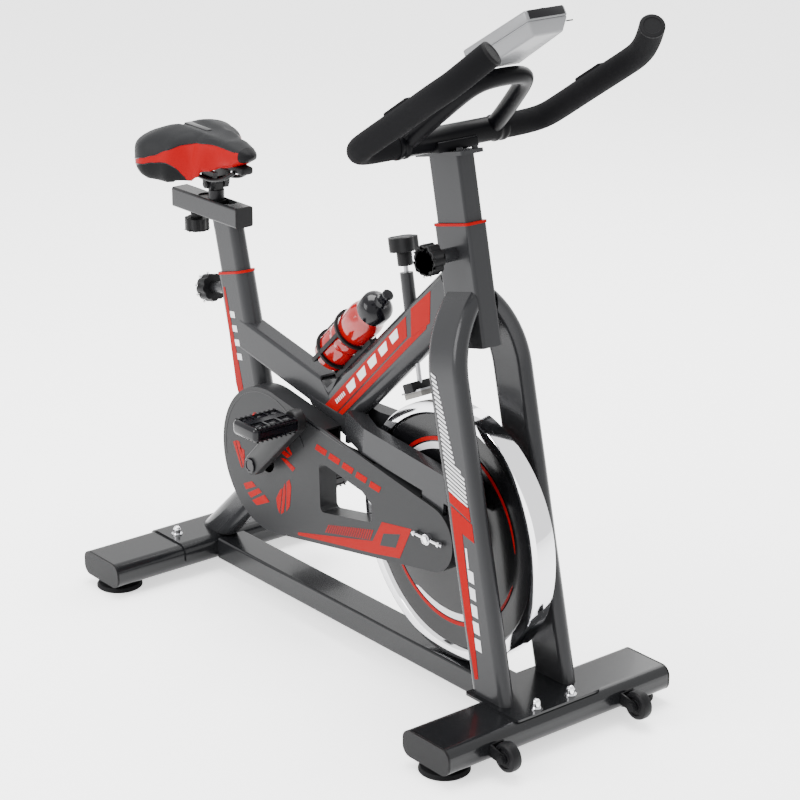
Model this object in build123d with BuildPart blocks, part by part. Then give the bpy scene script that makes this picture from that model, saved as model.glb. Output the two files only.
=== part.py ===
from build123d import *
from math import sin, cos, tan, radians, atan2, degrees, hypot
import os

# Indoor spin bike.  +X forward (flywheel end), +Y to the rider's left, +Z up, millimetres.
# Origin: on the floor, on the centre plane, midway between the saddle's back and the
# transport wheels' front.

# ---------------------------------------------------------------- driving dimensions
overall_length = 1124.0          # saddle back to transport wheel front
wheelbase = 899.0                # between the two stabiliser centre lines
front_stabiliser_length = 468.0
rear_stabiliser_length = 490.0
stabiliser_depth = 110.0
stabiliser_height = 44.5
stabiliser_top = 62.5
tube_wall = 2.0
fit_gap = 0.3                    # clearance between pieces that move past each other
running_gap = 0.05               # radial clearance of a shaft in its bearing

wheel_radius = 24.0              # transport wheels
wheel_width = 20.0
wheel_offset = 138.0
wheel_height = 36.0
wheel_pin_radius = 4.0

foot_radius = 41.0
foot_pad_height = 10.0
foot_inset = 38.5
foot_stem_radius = 5.0

rail_width = 60.0                # bottom rail tube
rail_height = 40.0

axle_height = 280.0              # flywheel axle and crank spindle
axle_setback = 204.5             # flywheel axle behind the front stabiliser
crank_to_axle = 440.5
flywheel_radius = 215.5
flywheel_width = 38.5
flywheel_rim_depth = 19.0
flywheel_web = 12.0
flywheel_hub_radius = 26.0
axle_radius = 6.0

belt_plane = 31.5                # belt centre line, on the right of the centre plane
belt_width = 12.0
belt_thickness = 2.5
crank_pulley_radius = 95.0
flywheel_pulley_radius = 30.0

guard_face = 57.0                # outer face of the guard, right of the centre plane
guard_seam = 40.0
guard_inner = 21.0
guard_wall = 2.5
guard_crank_radius = 130.5
guard_axle_radius = 56.0

shell_radius = 20.0              # bottom bracket shell
shell_bore = 17.0
shell_left = 50.0
shell_right = 18.0
spindle_radius = 8.5
arm_inner = 72.0
arm_thickness = 20.0
arm_boss_radius = 18.0
arm_pedal_radius = 27.0
crank_length = 164.0
crank_angle = 45.5               # above the horizontal, pedal forward
pedal_spindle_radius = 7.0
pedal_width = 92.0
pedal_depth = 66.0
pedal_height = 26.0

oval_width = 37.0                # flat oval tube of the seat tube and down tube
seat_lean = 14.5
seat_tube_long = 82.0
seat_post_long = 70.0
seat_post_width = 30.0
seat_top_x = -347.7
seat_top_z = 571.6
seat_post_insert = 236.0        # post below the top of the seat tube
seat_rail_size = 36.0
seat_rail_length = 192.0
seat_rail_front = 43.5           # rail end ahead of the post's axis at its top

down_tube_long = 81.0
down_tube_width = 38.0
down_tube_angle = 42.9
beam_height = 57.0
beam_width = 38.0
beam_angle = -11.5

head_lean = 12.3
head_tube_long = 82.0
head_tube_width = 40.0
head_tube_length = 191.0
head_top_x = 253.4
head_top_z = 789.4
bar_post_long = 73.0
bar_post_width = 34.0
bar_post_exposed = 98.0

fork_lean = 13.0
fork_long = 80.0
fork_width = 28.0
fork_offset = 65.0
fork_bend_start = 511.0
fork_bend_radius = 166.0

collar_height = 4.0
collar_sleeve = 45.0
pin_radius = 5.0
knob_radius = 25.0

grip_radius = 19.5
bar_radius = 12.5
bar_x = 224.0
bar_z = 921.5
horn_y = 188.0
horn_angle = 32.4
horn_bend = 62.0
horn_length = 250.0              # bar to the start of the inward bend, along the horn
tip_x = 495.5
tip_y = 157.0
core_half = 108.0
core_radius = 21.5

arch_angle = 42.0
arch_thick = 26.0

console_angle = 32.4
console_length = 141.0
console_depth = 38.0
console_front_half = 39.0
console_rear_half = 54.0
console_x = 434.3
console_z = 1150.6

brake_x = 112.8
brake_z = 731.0
brake_rod_radius = 4.0
brake_travel = 5.0

# ---------------------------------------------------------------- derived positions
wheel_x = overall_length / 2 - wheel_radius
front_x = wheel_x - wheel_radius - stabiliser_depth / 2 - 3
rear_x = front_x - wheelbase
stabiliser_bottom = stabiliser_top - stabiliser_height
flywheel_x = front_x - axle_setback
crank_x = flywheel_x - crank_to_axle
pedal_dx = crank_length * cos(radians(crank_angle))
pedal_dz = crank_length * sin(radians(crank_angle))
pedal_middle = arm_inner + arm_thickness + 2 + pedal_width / 2

os.makedirs("parts", exist_ok=True)


def finish(part, name):
    """Label a finished piece and write it as one STEP file."""
    part.label = name
    export_step(part, "parts/" + name + ".step")


def leaning_plane(x, z, lean):
    """Plane across a post that leans back by `lean`; its X runs fore and aft."""
    s, c = sin(radians(lean)), cos(radians(lean))
    return Plane(origin=(x, 0, z), x_dir=(c, 0, s), z_dir=(-s, 0, c))


def tube_plane(x, z, angle):
    """Plane across a tube that climbs forward at `angle`; its X runs upward."""
    s, c = sin(radians(angle)), cos(radians(angle))
    return Plane(origin=(x, 0, z), x_dir=(-s, 0, c), z_dir=(c, 0, s))


def side_plane(y):
    """Vertical fore-and-aft plane at height y; local axes are X and Z."""
    return Plane(origin=(0, y, 0), x_dir=(1, 0, 0), z_dir=(0, -1, 0))


# ---------------------------------------------------------------- base
def stabiliser(x, length):
    """Hollow cross tube with rounded long edges, closed later by its end caps."""
    tube_end = length / 2 - 4
    middle = stabiliser_top - stabiliser_height / 2
    plane = Plane(origin=(x, tube_end, middle), x_dir=(1, 0, 0), z_dir=(0, -1, 0))
    with BuildPart() as tube:
        with BuildSketch(plane):
            RectangleRounded(stabiliser_depth, stabiliser_height, 17)
            offset(amount=-tube_wall, mode=Mode.SUBTRACT)
        extrude(amount=2 * tube_end)
        for side in (-1, 1):
            with Locations((x, side * (length / 2 - foot_inset), stabiliser_bottom + tube_wall / 2)):
                Cylinder(foot_stem_radius + 1, 3 * tube_wall, mode=Mode.SUBTRACT)
    return tube


cap_depth = 14.0
front_stabiliser = stabiliser(front_x, front_stabiliser_length)
rear_stabiliser = stabiliser(rear_x, rear_stabiliser_length)
finish(front_stabiliser.part, "front_stabiliser")
finish(rear_stabiliser.part, "rear_stabiliser")

with BuildPart() as stabiliser_caps:
    for x, length in ((front_x, front_stabiliser_length), (rear_x, rear_stabiliser_length)):
        for side in (-1, 1):
            plane = Plane(
                origin=(x, side * (length / 2 - 4), stabiliser_top - stabiliser_height / 2),
                x_dir=(1, 0, 0),
                z_dir=(0, side, 0),
            )
            with BuildSketch(plane):
                RectangleRounded(stabiliser_depth, stabiliser_height, 17)
            extrude(amount=4)
            with BuildSketch(plane):
                RectangleRounded(stabiliser_depth - 2 * tube_wall, stabiliser_height - 2 * tube_wall, 15)
            extrude(amount=-cap_depth)
finish(stabiliser_caps.part, "stabiliser_caps")

# Rail between the stabilisers, and the two brackets that bolt onto them.
plate_thick = 4.0
wrap_thick = 3.0
front_plate_width = 176.0
rear_wrap_width = 200.0
rail_start = rear_x + stabiliser_depth / 2 + wrap_thick
rail_end = front_x - stabiliser_depth / 2
rail_middle = stabiliser_top - rail_height / 2
with BuildPart() as bottom_rail:
    with BuildSketch(Plane(origin=(rail_start, 0, rail_middle), x_dir=(0, 1, 0), z_dir=(1, 0, 0))):
        RectangleRounded(rail_width, rail_height, 4)
        RectangleRounded(rail_width - 2 * tube_wall, rail_height - 2 * tube_wall, 2, mode=Mode.SUBTRACT)
    extrude(amount=rail_end - rail_start)
finish(bottom_rail.part, "bottom_rail")

plate_rear = front_x - 80.0
plate_front = front_x + stabiliser_depth / 2 - 8
with BuildPart() as front_plate:
    with BuildSketch(Plane.XY.offset(stabiliser_top)):
        with Locations(((plate_rear + plate_front) / 2, 0)):
            RectangleRounded(plate_front - plate_rear, front_plate_width, 6)
    extrude(amount=plate_thick)

wrap_plane = Plane(
    origin=(rear_x, rear_wrap_width / 2, stabiliser_top - stabiliser_height / 2),
    x_dir=(1, 0, 0),
    z_dir=(0, -1, 0),
)
wrap_depth = stabiliser_depth + 2 * wrap_thick
wrap_height = stabiliser_height + 2 * wrap_thick
with BuildPart() as rear_bracket:
    with BuildSketch(wrap_plane):
        RectangleRounded(wrap_depth, wrap_height, 17 + wrap_thick)
        RectangleRounded(stabiliser_depth, stabiliser_height, 17, mode=Mode.SUBTRACT)
        with Locations((0, -stabiliser_height / 2)):
            Rectangle(2 * stabiliser_depth, stabiliser_height * 0.8, mode=Mode.SUBTRACT)
    extrude(amount=rear_wrap_width)
with BuildPart() as stabiliser_brackets:
    add(front_plate.part)
    add(rear_bracket.part)
finish(stabiliser_brackets.part, "stabiliser_brackets")
plate_top = stabiliser_top + plate_thick
wrap_top = stabiliser_top + wrap_thick


def dome_nut(x, y, z):
    """Chrome dome nut on its washer."""
    with Locations((x, y, z + 1)):
        Cylinder(10, 2)
    with Locations((x, y, z + 2 + 4)):
        Cylinder(7, 8)
    with Locations((x, y, z + 10)):
        Sphere(6.2)


# Transport wheels: a fork bracket with its pin on the front stabiliser, and a wheel.
bracket_thick = 3.0
bracket_gap = wheel_width + 2
stabiliser_face = front_x + stabiliser_depth / 2
with BuildPart() as wheel_brackets:
    for side in (-1, 1):
        y = side * wheel_offset
        with BuildSketch(Plane(origin=(stabiliser_face, y, 0), x_dir=(0, 1, 0), z_dir=(1, 0, 0))):
            with Locations((0, wheel_height + 4)):
                Rectangle(bracket_gap + 2 * bracket_thick, 20)
        extrude(amount=2)
        for ear in (-1, 1):
            face = y + ear * (bracket_gap / 2 + bracket_thick / 2)
            with BuildSketch(side_plane(face + bracket_thick / 2)):
                with BuildLine():
                    Polyline(
                        (stabiliser_face + 1, wheel_height + 14),
                        (wheel_x, wheel_height + 9),
                        (wheel_x, wheel_height - 9),
                        (stabiliser_face + 1, wheel_height - 6),
                        close=True,
                    )
                make_face()
                with Locations((wheel_x, wheel_height)):
                    Circle(9)
            extrude(amount=bracket_thick)
        with Locations(Location((wheel_x, y, wheel_height), (90, 0, 0))):
            Cylinder(wheel_pin_radius, bracket_gap + 2 * bracket_thick + 8)
        for ear in (-1, 1):
            nut_y = y + ear * (bracket_gap / 2 + bracket_thick + 2.5)
            with Locations(Location((wheel_x, nut_y, wheel_height), (90, 0, 0))):
                Cylinder(7, 5)
finish(wheel_brackets.part, "wheel_brackets")

for name, side in (("transport_wheel_right", -1), ("transport_wheel_left", 1)):
    with BuildPart() as wheel:
        with BuildSketch(side_plane(side * wheel_offset + wheel_width / 2)):
            with Locations((wheel_x, wheel_height)):
                Circle(wheel_radius)
                Circle(wheel_pin_radius + running_gap, mode=Mode.SUBTRACT)
        extrude(amount=wheel_width)
        fillet(wheel.edges().filter_by(GeomType.CIRCLE).filter_by(lambda e: e.radius > wheel_radius - 1), 3)
    finish(wheel.part, name)

# Levelling feet: a rubber pad moulded on a threaded stem.
for name, x, y in (
    ("foot_front_right", front_x, foot_inset - front_stabiliser_length / 2),
    ("foot_front_left", front_x, front_stabiliser_length / 2 - foot_inset),
    ("foot_rear_right", rear_x, foot_inset - rear_stabiliser_length / 2),
    ("foot_rear_left", rear_x, rear_stabiliser_length / 2 - foot_inset),
):
    with BuildPart() as foot:
        with BuildSketch(Plane(origin=(x, y, 0))):
            Circle(foot_radius)
        extrude(amount=foot_pad_height, taper=18)
        with BuildSketch(Plane(origin=(x, y, foot_pad_height))):
            Circle(12)
        extrude(amount=stabiliser_bottom - foot_pad_height - fit_gap)
        with BuildSketch(Plane(origin=(x, y, foot_pad_height))):
            Circle(foot_stem_radius)
        extrude(amount=stabiliser_bottom - foot_pad_height + 22)
    finish(foot.part, name)

# ---------------------------------------------------------------- frame tubes
def oval_bar(plane, long, wide, length):
    """Outer envelope of a flat oval tube."""
    with BuildPart() as bar:
        with BuildSketch(plane):
            SlotOverall(long, wide)
        extrude(amount=length)
    return bar.part


def block(plane, along_x, along_y, depth):
    """Plain block standing on a plane, used to trim tube ends."""
    with BuildPart() as shape:
        with BuildSketch(plane):
            Rectangle(along_x, along_y)
        extrude(amount=depth)
    return shape.part


# Outer envelopes that the frame tubes are coped against.
leg_long = 58.0
leg_width = 38.0
leg_base_x = rear_x + 24.0
leg_rise = axle_height - wrap_top
leg_run = crank_x - leg_base_x
leg_angle = degrees(atan2(leg_rise, leg_run))
leg_length = hypot(leg_rise, leg_run)
leg_plane = tube_plane(leg_base_x, wrap_top, leg_angle).offset(-60)
leg_envelope = oval_bar(leg_plane, leg_long, leg_width, leg_length + 60)

seat_plane = leaning_plane(seat_top_x, seat_top_z, seat_lean)
seat_envelope = oval_bar(seat_plane, seat_tube_long, oval_width, -360)

down_start_x = -45.0
down_start_z = 408.0
down_plane = tube_plane(down_start_x, down_start_z, down_tube_angle)
down_envelope = oval_bar(down_plane, down_tube_long, down_tube_width, 400)

head_plane = leaning_plane(head_top_x, head_top_z, head_lean)
with BuildPart() as head_block:
    with BuildSketch(head_plane):
        RectangleRounded(head_tube_long, head_tube_width, 6)
    extrude(amount=-head_tube_length)

# Rear leg: from the rear bracket up to the bottom bracket shell.
with BuildPart() as rear_leg:
    add(leg_envelope)
    with BuildSketch(leg_plane):
        SlotOverall(leg_long - 2 * tube_wall, leg_width - 2 * tube_wall)
    extrude(amount=leg_length + 60, mode=Mode.SUBTRACT)
    with Locations(Location((crank_x, 0, axle_height), (90, 0, 0))):
        Cylinder(shell_radius, 2 * leg_width, mode=Mode.SUBTRACT)
    with Locations((leg_base_x, 0, wrap_top - 150)):
        Box(400, 400, 300, mode=Mode.SUBTRACT)
    add(block(tube_plane(crank_x, axle_height, leg_angle), 200, 200, 200), mode=Mode.SUBTRACT)
    with BuildSketch(side_plane(shell_left)):
        with Locations((crank_x, axle_height)):
            Circle(shell_radius)
            Circle(shell_bore, mode=Mode.SUBTRACT)
    extrude(amount=shell_left + shell_right)
finish(rear_leg.part, "rear_leg")

bearing_width = 12.0
with BuildPart() as crank_bearings:
    for y in (shell_left, bearing_width - shell_right):
        with BuildSketch(side_plane(y)):
            with Locations((crank_x, axle_height)):
                Circle(shell_bore)
                Circle(spindle_radius + running_gap, mode=Mode.SUBTRACT)
        extrude(amount=bearing_width)
finish(crank_bearings.part, "crank_bearings")

# Seat tube: from its clamped top down onto the rear leg, with the boss of the pop pin.
seat_pin_down = 25.0
seat_boss_reach = 66.0
boss_radius = 11.0


def pin_plane(base, down, reach):
    """Plane across the seat pin, `reach` behind the axis of the tube, facing rearward."""
    centre = base.from_local_coords((-reach, 0, -down))
    return Plane(origin=centre, x_dir=(0, 1, 0), z_dir=-base.x_dir)


with BuildPart() as seat_tube:
    add(seat_envelope)
    with BuildSketch(pin_plane(seat_plane, seat_pin_down, 30)):
        Circle(boss_radius)
    extrude(amount=seat_boss_reach - 30)
    with BuildSketch(seat_plane):
        SlotOverall(seat_tube_long - 2 * tube_wall, oval_width - 2 * tube_wall)
    extrude(amount=-360, mode=Mode.SUBTRACT)
    add(leg_envelope, mode=Mode.SUBTRACT)
    with BuildSketch(leg_plane):
        with Locations((-150, 0)):
            Rectangle(300, 200)
    extrude(amount=700, mode=Mode.SUBTRACT)
    with BuildSketch(pin_plane(seat_plane, seat_pin_down, 25)):
        Circle(pin_radius + fit_gap)
    extrude(amount=80, mode=Mode.SUBTRACT)
finish(seat_tube.part, "seat_tube")

# Main beam: rectangular tube from the seat tube to the foot of the down tube.
beam_mid_x = -175.0
beam_mid_z = 442.5
beam_start_x = -320.0
beam_start_z = beam_mid_z + (beam_start_x - beam_mid_x) * tan(radians(beam_angle))
beam_plane = tube_plane(beam_start_x, beam_start_z, beam_angle)
with BuildPart() as main_beam:
    with BuildSketch(beam_plane):
        RectangleRounded(beam_height, beam_width, 6)
        RectangleRounded(beam_height - 2 * tube_wall, beam_width - 2 * tube_wall, 4, mode=Mode.SUBTRACT)
    extrude(amount=360)
    add(seat_envelope, mode=Mode.SUBTRACT)
    with BuildSketch(seat_plane):
        with Locations((-200, 0)):
            Rectangle(400, 200)
    extrude(amount=-400, mode=Mode.SUBTRACT)
    add(down_envelope, mode=Mode.SUBTRACT)
    with BuildSketch(down_plane):
        Rectangle(600, 200)
    extrude(amount=500, mode=Mode.SUBTRACT)
finish(main_beam.part, "main_beam")

# Down tube, with the guide sleeve of the brake rod through it.
brake_lean = 11.0
brake_plane = leaning_plane(brake_x, brake_z, brake_lean)
sleeve_radius = 11.0
sleeve_top = -50.0
sleeve_bottom = -192.0
with BuildPart() as down_tube:
    add(down_envelope)
    with BuildSketch(down_plane.offset(tube_wall)):
        SlotOverall(down_tube_long - 2 * tube_wall, down_tube_width - 2 * tube_wall)
    extrude(amount=400, mode=Mode.SUBTRACT)
    with BuildSketch(brake_plane.offset(sleeve_top)):
        Circle(sleeve_radius)
    extrude(amount=sleeve_bottom - sleeve_top)
    with BuildSketch(brake_plane.offset(sleeve_top + 1)):
        Circle(brake_rod_radius + fit_gap)
    extrude(amount=sleeve_bottom - sleeve_top - 30, mode=Mode.SUBTRACT)
    add(head_block.part, mode=Mode.SUBTRACT)
    with BuildSketch(head_plane.offset(50)):
        with Locations((200, 0)):
            Rectangle(400, 200)
    extrude(amount=-500, mode=Mode.SUBTRACT)
finish(down_tube.part, "down_tube")

# Head tube with the boss of its pop pin on the right.
head_pin_down = 43.0
head_boss_reach = 46.0


def head_pin_plane(reach):
    """Plane across the head pin, `reach` to the right of the centre plane, facing right."""
    centre = head_plane.from_local_coords((0, 0, -head_pin_down))
    return Plane(origin=(centre.X, -reach, centre.Z), x_dir=(1, 0, 0), z_dir=(0, -1, 0))


with BuildPart() as head_tube:
    add(head_block.part)
    with BuildSketch(head_pin_plane(15)):
        Circle(boss_radius)
    extrude(amount=head_boss_reach - 15)
    with BuildSketch(head_plane):
        RectangleRounded(head_tube_long - 2 * tube_wall, head_tube_width - 2 * tube_wall, 4)
    extrude(amount=-head_tube_length, mode=Mode.SUBTRACT)
    with BuildSketch(head_pin_plane(10)):
        Circle(pin_radius + fit_gap)
    extrude(amount=60, mode=Mode.SUBTRACT)
finish(head_tube.part, "head_tube")

# Fork legs: flat oval tubes, straight up from the front plate, then bent in to the head tube.
fork_x = front_x - 34.0
fork_s, fork_c = sin(radians(fork_lean)), cos(radians(fork_lean))
with BuildPart() as fork_legs:
    for side in (-1, 1):
        foot_plane = Plane(
            origin=(fork_x, side * fork_offset, stabiliser_top),
            x_dir=(fork_c, 0, fork_s),
            z_dir=(-fork_s, 0, fork_c),
        )
        with BuildSketch(foot_plane.offset(-30)):
            SlotOverall(fork_long, fork_width)
            SlotOverall(fork_long - 2 * tube_wall, fork_width - 2 * tube_wall, mode=Mode.SUBTRACT)
        extrude(amount=fork_bend_start + 30)
        bend_plane = foot_plane.offset(fork_bend_start)
        with BuildSketch(bend_plane):
            SlotOverall(fork_long, fork_width)
            SlotOverall(fork_long - 2 * tube_wall, fork_width - 2 * tube_wall, mode=Mode.SUBTRACT)
        pivot = bend_plane.from_local_coords((0, -side * fork_bend_radius, 0))
        revolve(axis=Axis(pivot, (side * fork_c, 0, side * fork_s)), revolution_arc=52)
    with Locations((fork_x, 0, plate_top - 100)):
        Box(400, 400, 200, mode=Mode.SUBTRACT)
    with BuildSketch(side_plane(head_tube_width / 2)):
        with Locations((280, 700)):
            Rectangle(400, 300)
    extrude(amount=head_tube_width, mode=Mode.SUBTRACT)
finish(fork_legs.part, "fork_legs")

# Stays from the foot of the down tube, along both sides of the flywheel, to the fork legs,
# with the axle plates hanging from them.
stay_height = 46.0
stay_slope = 5.8
stay_top_z = 411.5               # at 100 ahead of the centre
stay_plane = Plane(
    origin=(100, 0, stay_top_z),
    x_dir=(cos(radians(stay_slope)), 0, -sin(radians(stay_slope))),
    z_dir=(sin(radians(stay_slope)), 0, cos(radians(stay_slope))),
)
stay_inner = 27.0
stay_outer = 51.0
plate_gap = 6.0
yoke_x = 1.0
yoke_thick = 8.0
yoke_top = 404.0
yoke_bottom = 362.0
with BuildPart() as axle_stays:
    for side in (-1, 1):
        with BuildSketch(stay_plane):
            with BuildLine():
                Polyline(
                    (-92, side * 12),
                    (-92, side * 34),
                    (-25, side * stay_outer),
                    (246, side * stay_outer),
                    (246, side * stay_inner),
                    (-20, side * stay_inner),
                    (-62, side * 12),
                    close=True,
                )
            make_face()
        extrude(amount=-stay_height)
        with BuildSketch(stay_plane.offset(-2)):
            with BuildLine():
                Polyline(
                    (-88, side * 17),
                    (-88, side * 31.4),
                    (-24.5, side * (stay_outer - 2)),
                    (260, side * (stay_outer - 2)),
                    (260, side * (stay_inner + 2)),
                    (-21, side * (stay_inner + 2)),
                    (-62, side * 15.5),
                    close=True,
                )
            make_face()
        extrude(amount=-(stay_height - 4), mode=Mode.SUBTRACT)
    with Locations((yoke_x, 0, (yoke_top + yoke_bottom) / 2)):
        Box(yoke_thick, 2 * stay_inner + 4, yoke_top - yoke_bottom)
    add(down_envelope, mode=Mode.SUBTRACT)
    for side in (-1, 1):
        with BuildSketch(side_plane(stay_outer if side > 0 else -(stay_outer - plate_gap))):
            with BuildLine():
                Polyline(
                    (flywheel_x - 27, 352),
                    (flywheel_x + 27, 352),
                    (flywheel_x + 22, axle_height),
                    (flywheel_x - 22, axle_height),
                    close=True,
                )
            make_face()
            with Locations((flywheel_x, axle_height)):
                Circle(22)
                Circle(axle_radius, mode=Mode.SUBTRACT)
        extrude(amount=plate_gap)
finish(axle_stays.part, "axle_stays")

# ---------------------------------------------------------------- drive and guard
def loop_face(crank_r, axle_r):
    """Outline round the crank circle and the axle circle, closed by their tangents."""
    tilt = atan2(((flywheel_x - crank_x) ** 2 - (crank_r - axle_r) ** 2) ** 0.5, crank_r - axle_r)
    c, s = cos(tilt), sin(tilt)
    with BuildSketch(Plane.XY) as outline:
        with BuildLine():
            Polyline(
                (crank_x + crank_r * c, axle_height + crank_r * s),
                (flywheel_x + axle_r * c, axle_height + axle_r * s),
                (flywheel_x + axle_r * c, axle_height - axle_r * s),
                (crank_x + crank_r * c, axle_height - crank_r * s),
                close=True,
            )
        make_face()
        with Locations((crank_x, axle_height)):
            Circle(crank_r)
        with Locations((flywheel_x, axle_height)):
            Circle(axle_r)
    return outline.sketch


def window_face(grow):
    """Rounded window in the guard, enlarged all round by `grow`."""
    with BuildSketch(Plane.XY) as window:
        with BuildLine():
            Polyline((-40, 318), (-37, 233), (103, 259), (103, 290), (77, 306), (-21, 322), close=True)
        make_face()
        fillet(window.vertices(), 9)
        if grow > 0:
            offset(amount=grow)
    return window.sketch


window_wall = 2.5
shaft_hole = 21.0
with BuildPart() as guard_outer:
    with BuildSketch(side_plane(-guard_seam)):
        add(loop_face(guard_crank_radius, guard_axle_radius))
    extrude(amount=guard_face - guard_seam)
    with BuildSketch(side_plane(-guard_seam)):
        add(loop_face(guard_crank_radius - guard_wall, guard_axle_radius - guard_wall))
    extrude(amount=guard_face - guard_seam - guard_wall, mode=Mode.SUBTRACT)
    with BuildSketch(side_plane(-guard_inner)):
        add(window_face(window_wall))
    extrude(amount=guard_face - guard_inner)
    with BuildSketch(side_plane(-guard_inner)):
        add(window_face(0))
        with Locations((crank_x, axle_height)):
            Circle(shaft_hole)
        with Locations((flywheel_x, axle_height)):
            Circle(axle_radius + 1)
    extrude(amount=guard_face, mode=Mode.SUBTRACT)
    with Locations((40, -42, 400)):
        Box(130, 22, 80, mode=Mode.SUBTRACT)
    with Locations((flywheel_x, -48, axle_height + 70)):
        Box(60, 10, 80, mode=Mode.SUBTRACT)
finish(guard_outer.part, "guard_outer")

with BuildPart() as guard_inner_half:
    with BuildSketch(side_plane(-guard_inner)):
        add(loop_face(guard_crank_radius, guard_axle_radius))
    extrude(amount=guard_seam - guard_inner)
    with BuildSketch(side_plane(-guard_inner - guard_wall)):
        add(loop_face(guard_crank_radius - guard_wall, guard_axle_radius - guard_wall))
    extrude(amount=guard_seam, mode=Mode.SUBTRACT)
    with BuildSketch(side_plane(0)):
        add(window_face(window_wall + 0.5))
        with Locations((crank_x, axle_height)):
            Circle(shaft_hole)
        with Locations((flywheel_x, axle_height)):
            Circle(flywheel_pulley_radius + 8)
    extrude(amount=guard_face, mode=Mode.SUBTRACT)
    with Locations((40, -31, 400)):
        Box(130, 50, 92, mode=Mode.SUBTRACT)
finish(guard_inner_half.part, "guard_inner")

belt_inner = crank_pulley_radius + fit_gap
small_belt_inner = flywheel_pulley_radius + fit_gap
with BuildPart() as drive_belt:
    with BuildSketch(side_plane(-belt_plane + belt_width / 2)):
        add(loop_face(belt_inner + belt_thickness, small_belt_inner + belt_thickness))
        add(loop_face(belt_inner, small_belt_inner), mode=Mode.SUBTRACT)
    extrude(amount=belt_width)
finish(drive_belt.part, "drive_belt")

with BuildPart() as crank_pulley:
    with BuildSketch(side_plane(-belt_plane + belt_width / 2)):
        with Locations((crank_x, axle_height)):
            Circle(crank_pulley_radius)
            Circle(spindle_radius, mode=Mode.SUBTRACT)
            with PolarLocations(56, 5):
                Circle(19, mode=Mode.SUBTRACT)
    extrude(amount=belt_width)
finish(crank_pulley.part, "crank_pulley")

arm_outer = arm_inner + arm_thickness
spindle_half = arm_outer - 2
with BuildPart() as crank_arms:
    for side in (-1, 1):
        pedal_x, pedal_z = crank_x - side * pedal_dx, axle_height - side * pedal_dz
        ends = ((crank_x, axle_height, arm_boss_radius), (pedal_x, pedal_z, arm_pedal_radius))
        across = (side * sin(radians(crank_angle)), -side * cos(radians(crank_angle)))
        with BuildSketch(side_plane(arm_outer if side > 0 else -arm_inner)):
            with BuildLine():
                (x0, z0, r0), (x1, z1, r1) = ends
                Polyline(
                    (x0 + across[0] * r0, z0 + across[1] * r0),
                    (x1 + across[0] * r1, z1 + across[1] * r1),
                    (x1 - across[0] * r1, z1 - across[1] * r1),
                    (x0 - across[0] * r0, z0 - across[1] * r0),
                    close=True,
                )
            make_face()
            for x, z, r in ends:
                with Locations((x, z)):
                    Circle(r)
            with Locations((crank_x, axle_height)):
                Circle(spindle_radius, mode=Mode.SUBTRACT)
            with Locations(ends[1][:2]):
                Circle(pedal_spindle_radius, mode=Mode.SUBTRACT)
        extrude(amount=arm_thickness)
finish(crank_arms.part, "crank_arms")

pedal_spindle_end = arm_outer + 2 + pedal_width - 6
with BuildPart() as crank_spindles:
    with BuildSketch(side_plane(spindle_half)):
        with Locations((crank_x, axle_height)):
            Circle(spindle_radius)
    extrude(amount=2 * spindle_half)
    for side in (-1, 1):
        x, z = crank_x - side * pedal_dx, axle_height - side * pedal_dz
        with BuildSketch(side_plane(pedal_spindle_end if side > 0 else -arm_inner)):
            with Locations((x, z)):
                Circle(pedal_spindle_radius)
        extrude(amount=pedal_spindle_end - arm_inner)
finish(crank_spindles.part, "crank_spindles")

for name, side in (("pedal_right", -1), ("pedal_left", 1)):
    x, z = crank_x - side * pedal_dx, axle_height - side * pedal_dz
    with BuildPart() as pedal:
        with BuildSketch(side_plane(side * pedal_middle + pedal_width / 2)):
            with Locations((x, z)):
                RectangleRounded(pedal_depth, pedal_height, 8)
        extrude(amount=pedal_width)
        bore_face = side * (pedal_middle - pedal_width / 2)
        with Locations(Location((x, bore_face, z), (90, 0, 0))):
            Cylinder(pedal_spindle_radius + running_gap, 2 * (pedal_width - 5), mode=Mode.SUBTRACT)
    finish(pedal.part, name)

# Flywheel: heavy rim, thinner web and hub, with its small pulley, on two bearings.
bearing_radius = 14.0
half = flywheel_width / 2
with BuildPart() as flywheel:
    with BuildSketch(side_plane(half)):
        with Locations((flywheel_x, axle_height)):
            Circle(flywheel_radius)
            Circle(bearing_radius, mode=Mode.SUBTRACT)
    extrude(amount=flywheel_width)
    for face in (half, -half + 5):
        with BuildSketch(side_plane(face)):
            with Locations((flywheel_x, axle_height)):
                Circle(flywheel_radius - flywheel_rim_depth)
                Circle(flywheel_hub_radius, mode=Mode.SUBTRACT)
        extrude(amount=5, mode=Mode.SUBTRACT)
finish(flywheel.part, "flywheel")

with BuildPart() as flywheel_pulley:
    with BuildSketch(side_plane(-half)):
        with Locations((flywheel_x, axle_height)):
            Circle(22)
            Circle(axle_radius + 2, mode=Mode.SUBTRACT)
    extrude(amount=belt_plane - belt_width / 2 - half)
    with BuildSketch(side_plane(-belt_plane + belt_width / 2)):
        with Locations((flywheel_x, axle_height)):
            Circle(flywheel_pulley_radius)
            Circle(axle_radius + 2, mode=Mode.SUBTRACT)
    extrude(amount=belt_width)
finish(flywheel_pulley.part, "flywheel_pulley")

with BuildPart() as flywheel_bearings:
    for y in (half, bearing_width - half):
        with BuildSketch(side_plane(y)):
            with Locations((flywheel_x, axle_height)):
                Circle(bearing_radius)
                Circle(axle_radius + running_gap, mode=Mode.SUBTRACT)
        extrude(amount=bearing_width)
finish(flywheel_bearings.part, "flywheel_bearings")

axle_left = stay_outer + 13.0
axle_right = guard_face + 11.0
eye_depth = 8.5                  # eye of the belt tension screw, round the axle
with BuildPart() as flywheel_axle:
    with BuildSketch(side_plane(axle_left)):
        with Locations((flywheel_x, axle_height)):
            Circle(axle_radius)
    extrude(amount=axle_left + axle_right)
finish(flywheel_axle.part, "flywheel_axle")

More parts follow.
